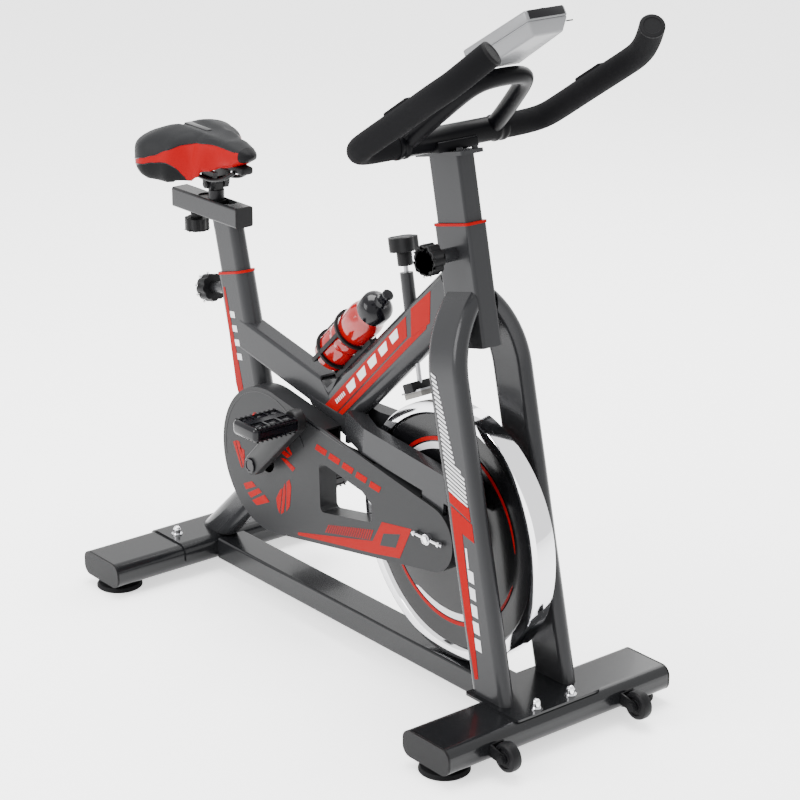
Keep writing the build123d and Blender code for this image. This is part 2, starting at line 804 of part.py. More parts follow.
with BuildPart() as frame_fasteners:
    for side in (-1, 1):
        dome_nut(front_x + 32, side * 36, plate_top)
        dome_nut(rear_x, side * 80, wrap_top)
    for y, size, height in ((stay_outer + 9, 11, 9), (-guard_face - eye_depth, 7.5, 3.5)):
        with BuildSketch(side_plane(y)):
            with Locations((flywheel_x, axle_height)):
                RegularPolygon(size, 6)
                Circle(axle_radius, mode=Mode.SUBTRACT)
        extrude(amount=height)
    with BuildSketch(side_plane(-guard_face - 0.5)):
        with Locations((flywheel_x, axle_height)):
            Circle(9)
    extrude(amount=eye_depth - 0.5)
    for side in (-1, 1):
        with Locations(Location((flywheel_x + side * 21, -guard_face - 5.6, axle_height), (0, 90, 0))):
            Cylinder(2.6, 32)
        with Locations(Location((flywheel_x + side * 30, -guard_face - 5.6, axle_height), (0, 90, 0))):
            Cylinder(5, 4)
    with BuildSketch(side_plane(-guard_face)):
        with Locations((flywheel_x, axle_height)):
            Circle(axle_radius)
    extrude(amount=2 * eye_depth, mode=Mode.SUBTRACT)
finish(frame_fasteners.part, "frame_fasteners")

# ---------------------------------------------------------------- seat
rail_bottom = 658.0
rail_rear = -515.0
rail_front = rail_rear + seat_rail_length
rail_top = rail_bottom + seat_rail_size
slider_x = -403.8
slider_knob_x = -466.5
slider_back = 30.0
slider_forward = 36.0
stub_radius = 14.0
slot_gap = 1.0
post_overshoot = 120.0           # drawn past the rail, then cut level with its underside
with BuildPart() as seat_post:
    with BuildSketch(seat_plane.offset(post_overshoot)):
        SlotOverall(seat_post_long, seat_post_width)
    extrude(amount=-post_overshoot - seat_post_insert)
    with BuildSketch(Plane.XY.offset(rail_bottom)):
        Rectangle(1400, 300)
    extrude(amount=200, mode=Mode.SUBTRACT)
    with BuildSketch(seat_plane.offset(post_overshoot)):
        SlotOverall(seat_post_long - 2 * tube_wall, seat_post_width - 2 * tube_wall)
    extrude(amount=-post_overshoot - seat_post_insert, mode=Mode.SUBTRACT)
finish(seat_post.part, "seat_post")

rail_mid = rail_bottom + seat_rail_size / 2
rail_bore = seat_rail_size - 2 * tube_wall
with BuildPart() as seat_rail:
    with BuildSketch(Plane(origin=(rail_rear, 0, rail_mid), x_dir=(0, 1, 0), z_dir=(1, 0, 0))):
        RectangleRounded(seat_rail_size, seat_rail_size, 4)
        RectangleRounded(rail_bore, rail_bore, 2, mode=Mode.SUBTRACT)
    extrude(amount=seat_rail_length)
    with BuildSketch(Plane.XY.offset(rail_top - 5)):
        with Locations((slider_x + (slider_forward - slider_back) / 2, 0)):
            travel = slider_forward + slider_back
            SlotOverall(travel + 2 * (stub_radius + slot_gap), 2 * (stub_radius + slot_gap))
    extrude(amount=10, mode=Mode.SUBTRACT)
    with BuildSketch(Plane.XY.offset(rail_bottom - 3)):
        with Locations((slider_knob_x + (slider_forward - slider_back) / 2, 0)):
            SlotOverall(travel + 2 * (pin_radius + slot_gap), 2 * (pin_radius + slot_gap))
    extrude(amount=8, mode=Mode.SUBTRACT)
finish(seat_rail.part, "seat_rail")

with BuildPart() as seat_rail_caps:
    for x, direction in ((rail_rear, 1), (rail_front, -1)):
        plane = Plane(origin=(x, 0, rail_mid), x_dir=(0, 1, 0), z_dir=(direction, 0, 0))
        with BuildSketch(plane):
            RectangleRounded(seat_rail_size, seat_rail_size, 4)
        extrude(amount=-2)
        with BuildSketch(plane):
            RectangleRounded(rail_bore - 1, rail_bore - 1, 3)
        extrude(amount=4)
finish(seat_rail_caps.part, "seat_rail_caps")

# Slider in the rail: its stub carries the saddle, its screw runs down to the clamp knob.
slider_height = rail_bore - 2 * fit_gap
tilt_z = 722.0
lug_half = 9.0
with BuildPart() as saddle_slider:
    with BuildSketch(Plane(origin=(slider_knob_x - 11, 0, rail_mid), x_dir=(0, 1, 0), z_dir=(1, 0, 0))):
        RectangleRounded(slider_height, slider_height, 3)
    extrude(amount=slider_x - slider_knob_x + 26)
    with BuildSketch(Plane.XY.offset(rail_mid)):
        with Locations((slider_x, 0)):
            Circle(stub_radius)
    extrude(amount=tilt_z - 12 - rail_mid)
    with BuildSketch(side_plane(lug_half)):
        with Locations((slider_x, tilt_z)):
            Circle(10)
        with Locations((slider_x, tilt_z - 8)):
            Rectangle(20, 16)
        with Locations((slider_x, tilt_z)):
            Circle(4 + running_gap, mode=Mode.SUBTRACT)
    extrude(amount=2 * lug_half)
    with BuildSketch(Plane.XY.offset(rail_mid)):
        with Locations((slider_knob_x, 0)):
            Circle(pin_radius)
    extrude(amount=-(rail_mid - 626))
finish(saddle_slider.part, "saddle_slider")

with BuildPart() as slider_knob:
    with BuildSketch(Plane.XY.offset(rail_bottom - 12)):
        with Locations((slider_knob_x, 0)):
            Circle(11)
            Circle(pin_radius + running_gap, mode=Mode.SUBTRACT)
    extrude(amount=9)
    with BuildSketch(Plane.XY.offset(rail_bottom - 12)):
        with Locations((slider_knob_x, 0)):
            Circle(22)
            Circle(pin_radius + running_gap, mode=Mode.SUBTRACT)
    extrude(amount=-22)
finish(slider_knob.part, "slider_knob")

saddle_rail_y = 22.0
saddle_rail_z = 736.0
with BuildPart() as saddle_clamp:
    for side in (-1, 1):
        with BuildSketch(side_plane(side * 14.2 + 4.7)):
            with BuildLine():
                Polyline(
                    (slider_x - 11, tilt_z - 8),
                    (slider_x + 11, tilt_z - 8),
                    (slider_x + 20, tilt_z + 24),
                    (slider_x - 20, tilt_z + 24),
                    close=True,
                )
            make_face()
            with Locations((slider_x, tilt_z)):
                Circle(4, mode=Mode.SUBTRACT)
        extrude(amount=9.4)
    with Locations(Location((slider_x, 0, tilt_z), (90, 0, 0))):
        Cylinder(4, 50)
    for side in (-1, 1):
        with Locations(Location((slider_x, side * 21.5, tilt_z), (90, 0, 0))):
            Cylinder(7, 5)
finish(saddle_clamp.part, "saddle_clamp")

with BuildPart() as saddle_rails:
    for side in (-1, 1):
        with BuildLine() as rail_path:
            Spline(
                (slider_x - 92, side * 30, 753),
                (slider_x - 34, side * saddle_rail_y, saddle_rail_z),
                (slider_x + 34, side * saddle_rail_y, saddle_rail_z),
                (slider_x + 76, side * 14, 757),
            )
        with BuildSketch(Plane(origin=rail_path.line @ 0, z_dir=rail_path.line % 0)):
            Circle(3.5)
        sweep()
    add(saddle_clamp.part, mode=Mode.SUBTRACT)
finish(saddle_rails.part, "saddle_rails")

# Saddle: moulded shell and a padded top, drawn from one plan outline.
saddle_back = -overall_length / 2
saddle_nose = -285.5


def saddle_plan(inset):
    """Plan outline of the saddle: broad rounded back running into a narrow nose."""
    with BuildSketch(Plane.XY) as plan:
        with BuildLine():
            Spline(
                (saddle_back + inset, 0),
                (saddle_back + 14 + inset, 70 - inset),
                (-505, 100 - inset),
                (-450, 84 - inset),
                (-400, 52 - inset),
                (-350, 33 - inset * 0.8),
                (-305, 24 - inset * 0.8),
                (saddle_nose - inset, 0),
                tangents=((0, 1), (0, -1)),
            )
            mirror(about=Plane.XZ)
        make_face()
    return plan.sketch


with BuildPart() as saddle_shell:
    with BuildSketch(Plane.XY.offset(757)):
        add(saddle_plan(9))
    extrude(amount=5)
    add(saddle_rails.part, mode=Mode.SUBTRACT)
finish(saddle_shell.part, "saddle_shell")

with BuildPart() as saddle_pad:
    with BuildSketch(Plane.XY.offset(762)):
        add(saddle_plan(0))
    extrude(amount=36)
    with BuildSketch(Plane.XY.offset(714)):
        add(saddle_plan(0))
        add(saddle_plan(8), mode=Mode.SUBTRACT)
    extrude(amount=50)
    for inset, low, high in ((10, 797, 808), (22, 807, 816), (36, 815, 821)):
        with BuildSketch(Plane.XY.offset(low)):
            add(saddle_plan(inset))
        extrude(amount=high - low)
    with BuildSketch(side_plane(150)):
        with BuildLine():
            Polyline((-462, 700), (-430, 718), (-345, 746), (-270, 758), (-270, 700), close=True)
        make_face()
    extrude(amount=300, mode=Mode.SUBTRACT)
    add(saddle_rails.part, mode=Mode.SUBTRACT)
finish(saddle_pad.part, "saddle_pad")

# ---------------------------------------------------------------- pop pins and collars
def popper(plane, reach, tip):
    """Pin and its round knob; the plane's normal points outward along the pin."""
    with BuildPart() as pin:
        with BuildSketch(plane.offset(tip)):
            Circle(pin_radius)
        extrude(amount=reach + 16 - tip)
    with BuildPart() as knob:
        with BuildSketch(plane.offset(reach + 2)):
            Circle(13)
            Circle(pin_radius + running_gap, mode=Mode.SUBTRACT)
        extrude(amount=10)
        with BuildSketch(plane.offset(reach + 12)):
            Circle(knob_radius)
        extrude(amount=22)
        with BuildSketch(plane.offset(reach)):
            Circle(pin_radius + running_gap)
        extrude(amount=17, mode=Mode.SUBTRACT)
    return pin, knob


seat_pin, seat_knob = popper(pin_plane(seat_plane, seat_pin_down, 0), seat_boss_reach, 36.5)
finish(seat_pin.part, "seat_pin")
finish(seat_knob.part, "seat_knob")
head_pin, head_knob = popper(head_pin_plane(0), head_boss_reach, 18.0)
finish(head_pin.part, "head_pin")
finish(head_knob.part, "head_knob")

with BuildPart() as post_collars:
    with BuildSketch(seat_plane):
        SlotOverall(seat_tube_long + 3, oval_width + 3)
        SlotOverall(seat_post_long + 2 * fit_gap, seat_post_width + 2 * fit_gap, mode=Mode.SUBTRACT)
    extrude(amount=collar_height)
    with BuildSketch(seat_plane):
        SlotOverall(seat_tube_long - 2 * tube_wall, oval_width - 2 * tube_wall)
        SlotOverall(seat_post_long + 2 * fit_gap, seat_post_width + 2 * fit_gap, mode=Mode.SUBTRACT)
    extrude(amount=-collar_sleeve)
    with BuildSketch(pin_plane(seat_plane, seat_pin_down, 20)):
        Circle(pin_radius + fit_gap)
    extrude(amount=40, mode=Mode.SUBTRACT)
    with BuildSketch(head_plane):
        RectangleRounded(head_tube_long + 3, head_tube_width + 3, 7)
        RectangleRounded(bar_post_long + 2 * fit_gap, bar_post_width + 2 * fit_gap, 5, mode=Mode.SUBTRACT)
    extrude(amount=collar_height)
    with BuildSketch(head_plane):
        RectangleRounded(head_tube_long - 2 * tube_wall, head_tube_width - 2 * tube_wall, 4)
        RectangleRounded(bar_post_long + 2 * fit_gap, bar_post_width + 2 * fit_gap, 5, mode=Mode.SUBTRACT)
    extrude(amount=-collar_sleeve)
    with BuildSketch(head_pin_plane(10)):
        Circle(pin_radius + fit_gap)
    extrude(amount=30, mode=Mode.SUBTRACT)
finish(post_collars.part, "post_collars")

# ---------------------------------------------------------------- handlebar
post_insert = 126.0
post_top = 108.0
top_plate_thick = 6.0
with BuildPart() as handlebar_post:
    with BuildSketch(head_plane.offset(post_top)):
        RectangleRounded(bar_post_long, bar_post_width, 4.7)
    extrude(amount=-post_top - post_insert)
    with BuildSketch(head_plane.offset(post_top)):
        RectangleRounded(bar_post_long - 2 * tube_wall, bar_post_width - 2 * tube_wall, 2.7)
    extrude(amount=-post_top - post_insert, mode=Mode.SUBTRACT)
finish(handlebar_post.part, "handlebar_post")

with BuildPart() as bar_mount_plate:
    with BuildSketch(head_plane.offset(post_top)):
        with Locations((-5, 0)):
            RectangleRounded(118, 44, 5)
    extrude(amount=top_plate_thick)
    with BuildSketch(head_plane.offset(post_top)):
        with Locations((36, -12), (44, 12)):
            Circle(5)
    extrude(amount=top_plate_thick + 5)
finish(bar_mount_plate.part, "bar_mount_plate")

console_s, console_c = sin(radians(console_angle)), cos(radians(console_angle))
console_plane = Plane(
    origin=(console_x, 0, console_z),
    x_dir=(console_c, 0, console_s),
    z_dir=(-console_s, 0, console_c),
)
with BuildPart() as console_block:
    with BuildSketch(console_plane):
        with BuildLine():
            Polyline(
                (0, console_front_half),
                (-console_length, console_rear_half),
                (-console_length, -console_rear_half),
                (0, -console_front_half),
                close=True,
            )
        make_face()
        fillet(vertices(), 8)
    extrude(amount=-console_depth, taper=12)
with BuildPart() as console_shell:
    add(console_block.part)
    with BuildSketch(console_plane):
        with Locations((-78, 0)):
            RectangleRounded(98, 70, 5)
    extrude(amount=-2, mode=Mode.SUBTRACT)
    with BuildSketch(console_plane):
        with Locations((-14, 0)):
            Circle(9)
    extrude(amount=-6, mode=Mode.SUBTRACT)
finish(console_shell.part, "console_shell")

with BuildPart() as console_panel:
    with BuildSketch(console_plane.offset(-2)):
        with Locations((-78, 0)):
            RectangleRounded(97.6, 69.6, 5)
    extrude(amount=1.7)
finish(console_panel.part, "console_panel")

with BuildPart() as console_button:
    with BuildSketch(console_plane.offset(-3.5)):
        with Locations((-14, 0)):
            Circle(8.6)
    extrude(amount=4.5)
finish(console_button.part, "console_button")

# Bar core: cross bar, two forward horns and the moulded arch that carries the console.
def horn_line(side):
    """Centre line of one side of the bar, from the centre plane out to the tip."""
    rise = Vector(cos(radians(horn_angle)), 0, sin(radians(horn_angle)))
    out = Vector(0, side, 0)
    start = Vector(bar_x, 0, bar_z)
    bend = start + out * (horn_y - horn_bend)
    centre = bend + rise * horn_bend
    knee = start + out * horn_y + rise * horn_length
    Line(start + out * (core_half - 8), bend)
    ThreePointArc(bend, centre + (out - rise) * (horn_bend * sin(radians(45))), centre + out * horn_bend)
    Line(centre + out * horn_bend, knee)
    Spline(knee, (tip_x, side * tip_y, bar_z + 189), tangents=(rise, (0.55, -side * 0.45, 0.7)))


arch_s, arch_c = sin(radians(arch_angle)), cos(radians(arch_angle))
arch_plane = Plane(origin=(bar_x, 0, bar_z), x_dir=(arch_c, 0, arch_s), z_dir=(-arch_s, 0, arch_c))
with BuildPart() as handlebar_core:
    for side in (-1, 1):
        with BuildLine() as horn:
            horn_line(side)
        with BuildSketch(Plane(origin=horn.line @ 0, z_dir=horn.line % 0)):
            Circle(bar_radius)
        sweep(path=horn.line)
    with BuildSketch(side_plane(core_half)):
        with Locations((bar_x, bar_z)):
            Circle(core_radius)
    extrude(amount=2 * core_half)
    with BuildSketch(arch_plane.offset(-arch_thick / 2)):
        with BuildLine():
            Polyline((-6, 106), (60, 90), (186, 56), (186, -56), (60, -90), (-6, -106), close=True)
        make_face()
        fillet(vertices().filter_by_position(Axis.Z, bar_z + 100, bar_z + 200), 40)
    extrude(amount=arch_thick)
    with BuildSketch(arch_plane.offset(-arch_thick)):
        with BuildLine():
            Polyline((24, 60), (148, 38), (148, -38), (24, -60), close=True)
        make_face()
        fillet(vertices(), 16)
    extrude(amount=2 * arch_thick, mode=Mode.SUBTRACT)
    add(console_block.part, mode=Mode.SUBTRACT)
    with BuildSketch(head_plane.offset(post_top + top_plate_thick)):
        Rectangle(500, 400)
    extrude(amount=-80, mode=Mode.SUBTRACT)
finish(handlebar_core.part, "handlebar_core")

with BuildPart() as foam_grips:
    for side in (-1, 1):
        with BuildLine() as horn:
            horn_line(side)
        with BuildSketch(Plane(origin=horn.line @ 0, z_dir=horn.line % 0)):
            Circle(grip_radius)
            Circle(bar_radius, mode=Mode.SUBTRACT)
        sweep(path=horn.line)
        with BuildSketch(Plane(origin=horn.line @ 1, z_dir=horn.line % 1)):
            Circle(grip_radius)
        extrude(amount=4)
    with BuildSketch(side_plane(core_half)):
        with Locations((bar_x, bar_z)):
            Circle(core_radius + 2)
    extrude(amount=2 * core_half, mode=Mode.SUBTRACT)
finish(foam_grips.part, "foam_grips")

# ---------------------------------------------------------------- brake
with BuildPart() as brake_knob:
    with BuildSketch(brake_plane.offset(-16)):
        Circle(knob_radius)
    extrude(amount=24)
    with BuildSketch(brake_plane.offset(-40)):
        Circle(13)
    extrude(amount=24.1)
    with BuildSketch(brake_plane.offset(-41)):
        Circle(brake_rod_radius + running_gap)
    extrude(amount=28, mode=Mode.SUBTRACT)
finish(brake_knob.part, "brake_knob")

shoe_gap = brake_travel + 1.6
shoe_plane = Plane(
    origin=(flywheel_x, 0, axle_height),
    x_dir=(0, 1, 0),
    z_dir=(sin(radians(-25.0)), 0, cos(radians(25.0))),
)
shoe_height = 9.0
brake_rod_length = 240.0
with BuildPart() as brake_pad:
    with BuildSketch(shoe_plane.offset(flywheel_radius + shoe_gap)):
        Rectangle(26, 46)
    extrude(amount=shoe_height)
    with BuildSketch(side_plane(20)):
        with Locations((flywheel_x, axle_height)):
            Circle(flywheel_radius + shoe_gap)
    extrude(amount=40, mode=Mode.SUBTRACT)
finish(brake_pad.part, "brake_pad")

with BuildPart() as brake_rod:
    with BuildSketch(brake_plane.offset(-14)):
        Circle(brake_rod_radius)
    extrude(amount=-(brake_rod_length - 14))
    with BuildSketch(shoe_plane.offset(flywheel_radius + shoe_gap + shoe_height)):
        RectangleRounded(32, 54, 3)
    extrude(amount=3)
    with BuildSketch(shoe_plane.offset(flywheel_radius + shoe_gap + shoe_height)):
        RectangleRounded(18, 22, 3)
    extrude(amount=12)
    with BuildSketch(shoe_plane.offset(flywheel_radius + shoe_gap + shoe_height)):
        Rectangle(60, 60)
    extrude(amount=-30, mode=Mode.SUBTRACT)
finish(brake_rod.part, "brake_rod")

# ---------------------------------------------------------------- bottle and cage
bottle_x, bottle_z = -77.5, 490.5
bottle_plane = tube_plane(bottle_x, bottle_z, down_tube_angle)
bottle_radius = 32.5
bottle_length = 150.0
cap_radius = 28.0
cap_skirt = 24.0
with BuildPart() as bottle:
    with BuildSketch(bottle_plane):
        Circle(bottle_radius)
    extrude(amount=bottle_length)
    fillet(bottle.edges().filter_by(GeomType.CIRCLE), 6)
finish(bottle.part, "bottle")

with BuildPart() as bottle_cap:
    with BuildSketch(bottle_plane.offset(bottle_length)):
        Circle(cap_radius)
    extrude(amount=cap_skirt)
    with BuildSketch(bottle_plane.offset(bottle_length + cap_skirt)):
        Circle(cap_radius)
    extrude(amount=14, taper=38)
    with BuildSketch(bottle_plane.offset(bottle_length + cap_skirt + 12)):
        Circle(10)
    extrude(amount=26)
finish(bottle_cap.part, "bottle_cap")

cage_wire = 2.5
cage_gap = 0.6
cage_ring = bottle_radius + cage_gap + cage_wire
with BuildPart() as bottle_cage:
    for height in (20.0, 88.0):
        with BuildSketch(bottle_plane.offset(height)):
            Circle(cage_ring + cage_wire)
            Circle(bottle_radius + cage_gap, mode=Mode.SUBTRACT)
        extrude(amount=2 * cage_wire)
    with BuildSketch(bottle_plane.offset(-cage_gap)):
        Circle(22)
    extrude(amount=-3)
    for angle in (0, 90, 270):
        ray = Plane(
            origin=bottle_plane.origin,
            x_dir=(bottle_plane.x_dir * cos(radians(angle)) + bottle_plane.y_dir * sin(radians(angle))),
            z_dir=bottle_plane.z_dir,
        )
        with BuildSketch(ray.offset(-cage_gap - 3)):
            with Locations((cage_ring + 0.5, 0)):
                Rectangle(3, 7)
        extrude(amount=94)
        with BuildSketch(ray.offset(-cage_gap)):
            with Locations((cage_ring / 2 + 8, 0)):
                Rectangle(cage_ring - 12, 7)
        extrude(amount=-3)
    with BuildSketch(bottle_plane.offset(-cage_gap - 3)):
        with Locations((-cage_ring - 3, 0)):
            Rectangle(8, 16)
    extrude(amount=125)
    with BuildSketch(bottle_plane.offset(-cage_gap)):
        with Locations((-cage_ring / 2 - 3, 0)):
            Rectangle(cage_ring, 16)
    extrude(amount=-3)
    add(down_envelope, mode=Mode.SUBTRACT)
finish(bottle_cage.part, "bottle_cage")
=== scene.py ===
import bpy
from math import sin, cos, pi, radians, sqrt
from mathutils import Matrix, Vector


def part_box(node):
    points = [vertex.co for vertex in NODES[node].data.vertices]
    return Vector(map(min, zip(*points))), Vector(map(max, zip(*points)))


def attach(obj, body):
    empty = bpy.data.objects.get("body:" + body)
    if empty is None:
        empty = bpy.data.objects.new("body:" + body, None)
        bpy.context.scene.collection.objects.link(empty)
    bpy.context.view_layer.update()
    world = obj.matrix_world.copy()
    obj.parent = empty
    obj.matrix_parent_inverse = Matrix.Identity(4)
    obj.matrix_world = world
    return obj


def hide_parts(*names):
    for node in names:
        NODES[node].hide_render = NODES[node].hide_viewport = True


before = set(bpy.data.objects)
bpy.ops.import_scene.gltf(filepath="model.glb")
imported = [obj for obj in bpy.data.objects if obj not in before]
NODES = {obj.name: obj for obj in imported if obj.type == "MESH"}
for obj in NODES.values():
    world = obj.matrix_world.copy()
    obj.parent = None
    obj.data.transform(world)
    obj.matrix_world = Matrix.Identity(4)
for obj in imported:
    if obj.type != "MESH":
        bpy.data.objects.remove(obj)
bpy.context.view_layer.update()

# Places taken from the frame.
SADDLE_LOW, SADDLE_HIGH = (Vector(v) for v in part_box("saddle_pad"))
FLYWHEEL_LOW, FLYWHEEL_HIGH = (Vector(v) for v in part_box("flywheel"))
AXLE = (FLYWHEEL_LOW + FLYWHEEL_HIGH) / 2
FLYWHEEL_R = (FLYWHEEL_HIGH.x - FLYWHEEL_LOW.x) / 2
PULLEY_LOW, PULLEY_HIGH = (Vector(v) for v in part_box("crank_pulley"))
CRANK = (PULLEY_LOW + PULLEY_HIGH) / 2
GUARD_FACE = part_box("guard_outer")[0][1]
SEAT_LEAN = radians(14.5)
HEAD_LEAN = radians(12.3)
DOWN_ANGLE = radians(42.9)
BRAKE_LEAN = radians(11.0)
CONSOLE_ANGLE = radians(32.4)
CRANK_ANGLE = radians(45.5)


# ---------------------------------------------------------------- materials
def new_material(name, color, roughness, metallic=0.0, coat=0.0, specular=0.5, transmission=0.0):
    """Principled material with its plain values on the sockets."""
    mat = bpy.data.materials.new(name)
    mat.use_nodes = True
    shader = mat.node_tree.nodes["Principled BSDF"]
    shader.inputs["Base Color"].default_value = (*color, 1.0)
    shader.inputs["Roughness"].default_value = roughness
    shader.inputs["Metallic"].default_value = metallic
    shader.inputs["Coat Weight"].default_value = coat
    shader.inputs["Coat Roughness"].default_value = 0.06
    shader.inputs["Transmission Weight"].default_value = transmission
    shader.inputs["Specular IOR Level"].default_value = specular
    return mat


def add_node(mat, kind, **values):
    """One node with its input values set by name."""
    node = mat.node_tree.nodes.new(kind)
    for key, value in values.items():
        node.inputs[key.replace("_", " ")].default_value = value
    return node


def grain(mat, scale, depth, rough_low, rough_high, detail=4.0):
    """Fine noise in object space: a bump and a small change of roughness."""
    tree = mat.node_tree
    shader = tree.nodes["Principled BSDF"]
    coords = tree.nodes.new("ShaderNodeTexCoord")
    noise = add_node(mat, "ShaderNodeTexNoise", Scale=scale, Detail=detail, Roughness=0.6)
    bump = add_node(mat, "ShaderNodeBump", Strength=depth, Distance=0.0005)
    spread = tree.nodes.new("ShaderNodeMapRange")
    spread.inputs["To Min"].default_value = rough_low
    spread.inputs["To Max"].default_value = rough_high
    tree.links.new(coords.outputs["Object"], noise.inputs["Vector"])
    tree.links.new(noise.outputs["Fac"], bump.inputs["Height"])
    tree.links.new(noise.outputs["Fac"], spread.inputs["Value"])
    tree.links.new(spread.outputs["Result"], shader.inputs["Roughness"])
    tree.links.new(bump.outputs["Normal"], shader.inputs["Normal"])
    return mat


def brushed(mat, axis_scale, depth):
    """Long fine scratches: noise stretched along one axis of the object."""
    tree = mat.node_tree
    shader = tree.nodes["Principled BSDF"]
    coords = tree.nodes.new("ShaderNodeTexCoord")
    mapping = tree.nodes.new("ShaderNodeMapping")
    mapping.inputs["Scale"].default_value = axis_scale
    noise = add_node(mat, "ShaderNodeTexNoise", Scale=60.0, Detail=6.0)
    bump = add_node(mat, "ShaderNodeBump", Strength=depth, Distance=0.0003)
    tree.links.new(coords.outputs["Object"], mapping.inputs["Vector"])
    tree.links.new(mapping.outputs["Vector"], noise.inputs["Vector"])
    tree.links.new(noise.outputs["Fac"], bump.inputs["Height"])
    tree.links.new(bump.outputs["Normal"], shader.inputs["Normal"])
    return mat


frame_paint = grain(
    new_material("frame_paint", (0.016, 0.0163, 0.0175), 0.22, 0.15, 0.05, 0.16), 420.0, 0.05, 0.18, 0.3
)
base_paint = grain(
    new_material("base_paint", (0.006, 0.0063, 0.007), 0.2, 0.05, 0.12, 0.2), 420.0, 0.05, 0.16, 0.26
)
guard_plastic = grain(
    new_material("guard_plastic", (0.013, 0.0132, 0.014), 0.32, 0.0, 0.0, 0.1), 900.0, 0.12, 0.26, 0.38
)
chrome = grain(new_material("chrome", (0.72, 0.72, 0.74), 0.06, 1.0), 60.0, 0.02, 0.04, 0.1)
steel = brushed(new_material("steel", (0.28, 0.28, 0.29), 0.3, 1.0), (1.0, 0.05, 1.0), 0.2)
dark_steel = brushed(
    new_material("dark_steel", (0.005, 0.005, 0.0055), 0.35, 0.1, 0.0, 0.15), (1.0, 0.05, 1.0), 0.15
)
arm_metal = brushed(
    new_material("arm_metal", (0.008, 0.0082, 0.0087), 0.4, 0.1, 0.0, 0.15), (1.0, 1.0, 1.0), 0.15
)
black_plastic = grain(
    new_material("black_plastic", (0.0035, 0.0035, 0.004), 0.45, 0.0, 0.0, 0.12), 1500.0, 0.3, 0.38, 0.55
)
gloss_black = grain(
    new_material("gloss_black", (0.002, 0.002, 0.003), 0.16, 0.0, 0.02, 0.2), 300.0, 0.04, 0.12, 0.22
)
casting_black = grain(
    new_material("casting_black", (0.0015, 0.0015, 0.002), 0.35, 0.0, 0.0, 0.06), 900.0, 0.1, 0.3, 0.42
)
red_plastic = grain(
    new_material("red_plastic", (0.22, 0.0, 0.0005), 0.35, 0.0, 0.0, 0.04), 500.0, 0.05, 0.3, 0.4
)
bright_red = grain(
    new_material("bright_red", (0.22, 0.0, 0.0004), 0.4, 0.0, 0.0, 0.03), 700.0, 0.03, 0.35, 0.45
)
decal_red = grain(
    new_material("decal_red", (0.2, 0.001, 0.001), 0.4, 0.0, 0.0, 0.05), 700.0, 0.03, 0.35, 0.45
)
decal_white = grain(new_material("decal_white", (0.5, 0.5, 0.51), 0.4, 0.0, 0.0, 0.3), 700.0, 0.03, 0.3, 0.4)
silver_plastic = grain(
    new_material("silver_plastic", (0.13, 0.132, 0.137), 0.35, 0.2, 0.1), 1200.0, 0.08, 0.3, 0.42
)
rubber = grain(new_material("rubber", (0.004, 0.004, 0.0045), 0.65, 0.0, 0.0, 0.1), 1100.0, 0.5, 0.6, 0.75)
foam = grain(new_material("foam", (0.0035, 0.0035, 0.004), 0.8, 0.0, 0.0, 0.05), 1800.0, 0.7, 0.72, 0.88, 8.0)
disc_black = grain(
    new_material("disc_black", (0.003, 0.003, 0.0035), 0.22, 0.0, 0.05, 0.2), 200.0, 0.03, 0.16, 0.28
)
felt = grain(new_material("felt", (0.14, 0.135, 0.125), 0.95), 2500.0, 0.9, 0.9, 1.0)
screen = grain(new_material("screen", (0.004, 0.0045, 0.005), 0.07, 0.0, 1.0), 40.0, 0.01, 0.05, 0.09)
bottle_red = grain(
    new_material("bottle_red", (0.25, 0.0, 0.0008), 0.12, 0.0, 0.3, 0.4, 0.25), 90.0, 0.05, 0.08, 0.16
)

FINISH = {
    frame_paint: ("rear_leg", "seat_tube", "main_beam", "down_tube", "head_tube", "fork_legs", "axle_stays",
                  "seat_post", "seat_rail", "handlebar_post", "bar_mount_plate"),
    base_paint: ("front_stabiliser", "rear_stabiliser", "bottom_rail", "stabiliser_brackets"),
    guard_plastic: ("guard_outer", "guard_inner"),
    chrome: ("frame_fasteners", "flywheel_axle"),
    steel: ("crank_spindles", "crank_bearings", "flywheel_pulley", "flywheel_bearings", "seat_pin",
            "head_pin", "brake_rod"),
    dark_steel: ("saddle_slider", "saddle_clamp", "saddle_rails"),
    black_plastic: ("stabiliser_caps", "seat_rail_caps", "crank_pulley", "bottle_cage",
                    "wheel_brackets"),
    red_plastic: ("post_collars",),
    rubber: ("drive_belt",),
    felt: ("brake_pad",),
    gloss_black: ("console_button",),
    screen: ("console_panel",),
}


def clothe_cad_nodes():
    """Each CAD node that keeps its shape gets its material."""
    for mat, names in FINISH.items():
        for name in names:
            node = NODES[name]
            node.data.materials.clear()
            node.data.materials.append(mat)


# ---------------------------------------------------------------- modelling helpers
def start_mesh(name):
    """Names the object that a primitive has just added and returns it."""
    obj = bpy.context.object
    obj.name = name
    obj.data.name = name
    return obj


def settle(obj, mat, body, *nodes, angle=30):
    """Applies the object's place and modifiers, shades it, and joins it to its body."""
    bpy.ops.object.select_all(action="DESELECT")
    obj.select_set(True)
    bpy.context.view_layer.objects.active = obj
    bpy.ops.object.transform_apply(location=True, rotation=True, scale=True)
    for modifier in list(obj.modifiers):
        bpy.ops.object.modifier_apply(modifier=modifier.name)
    bpy.ops.object.shade_smooth_by_angle(angle=radians(angle))
    if mat is not None:
        obj.data.materials.clear()
        obj.data.materials.append(mat)
    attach(obj, body)
    if nodes:
        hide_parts(*nodes)
    return obj


def bevel(obj, width, segments=3, angle=35):
    """Rounds the sharp edges of an object."""
    modifier = obj.modifiers.new("bevel", "BEVEL")
    modifier.width = width
    modifier.segments = segments
    modifier.limit_method = "ANGLE"
    modifier.angle_limit = radians(angle)
    return obj


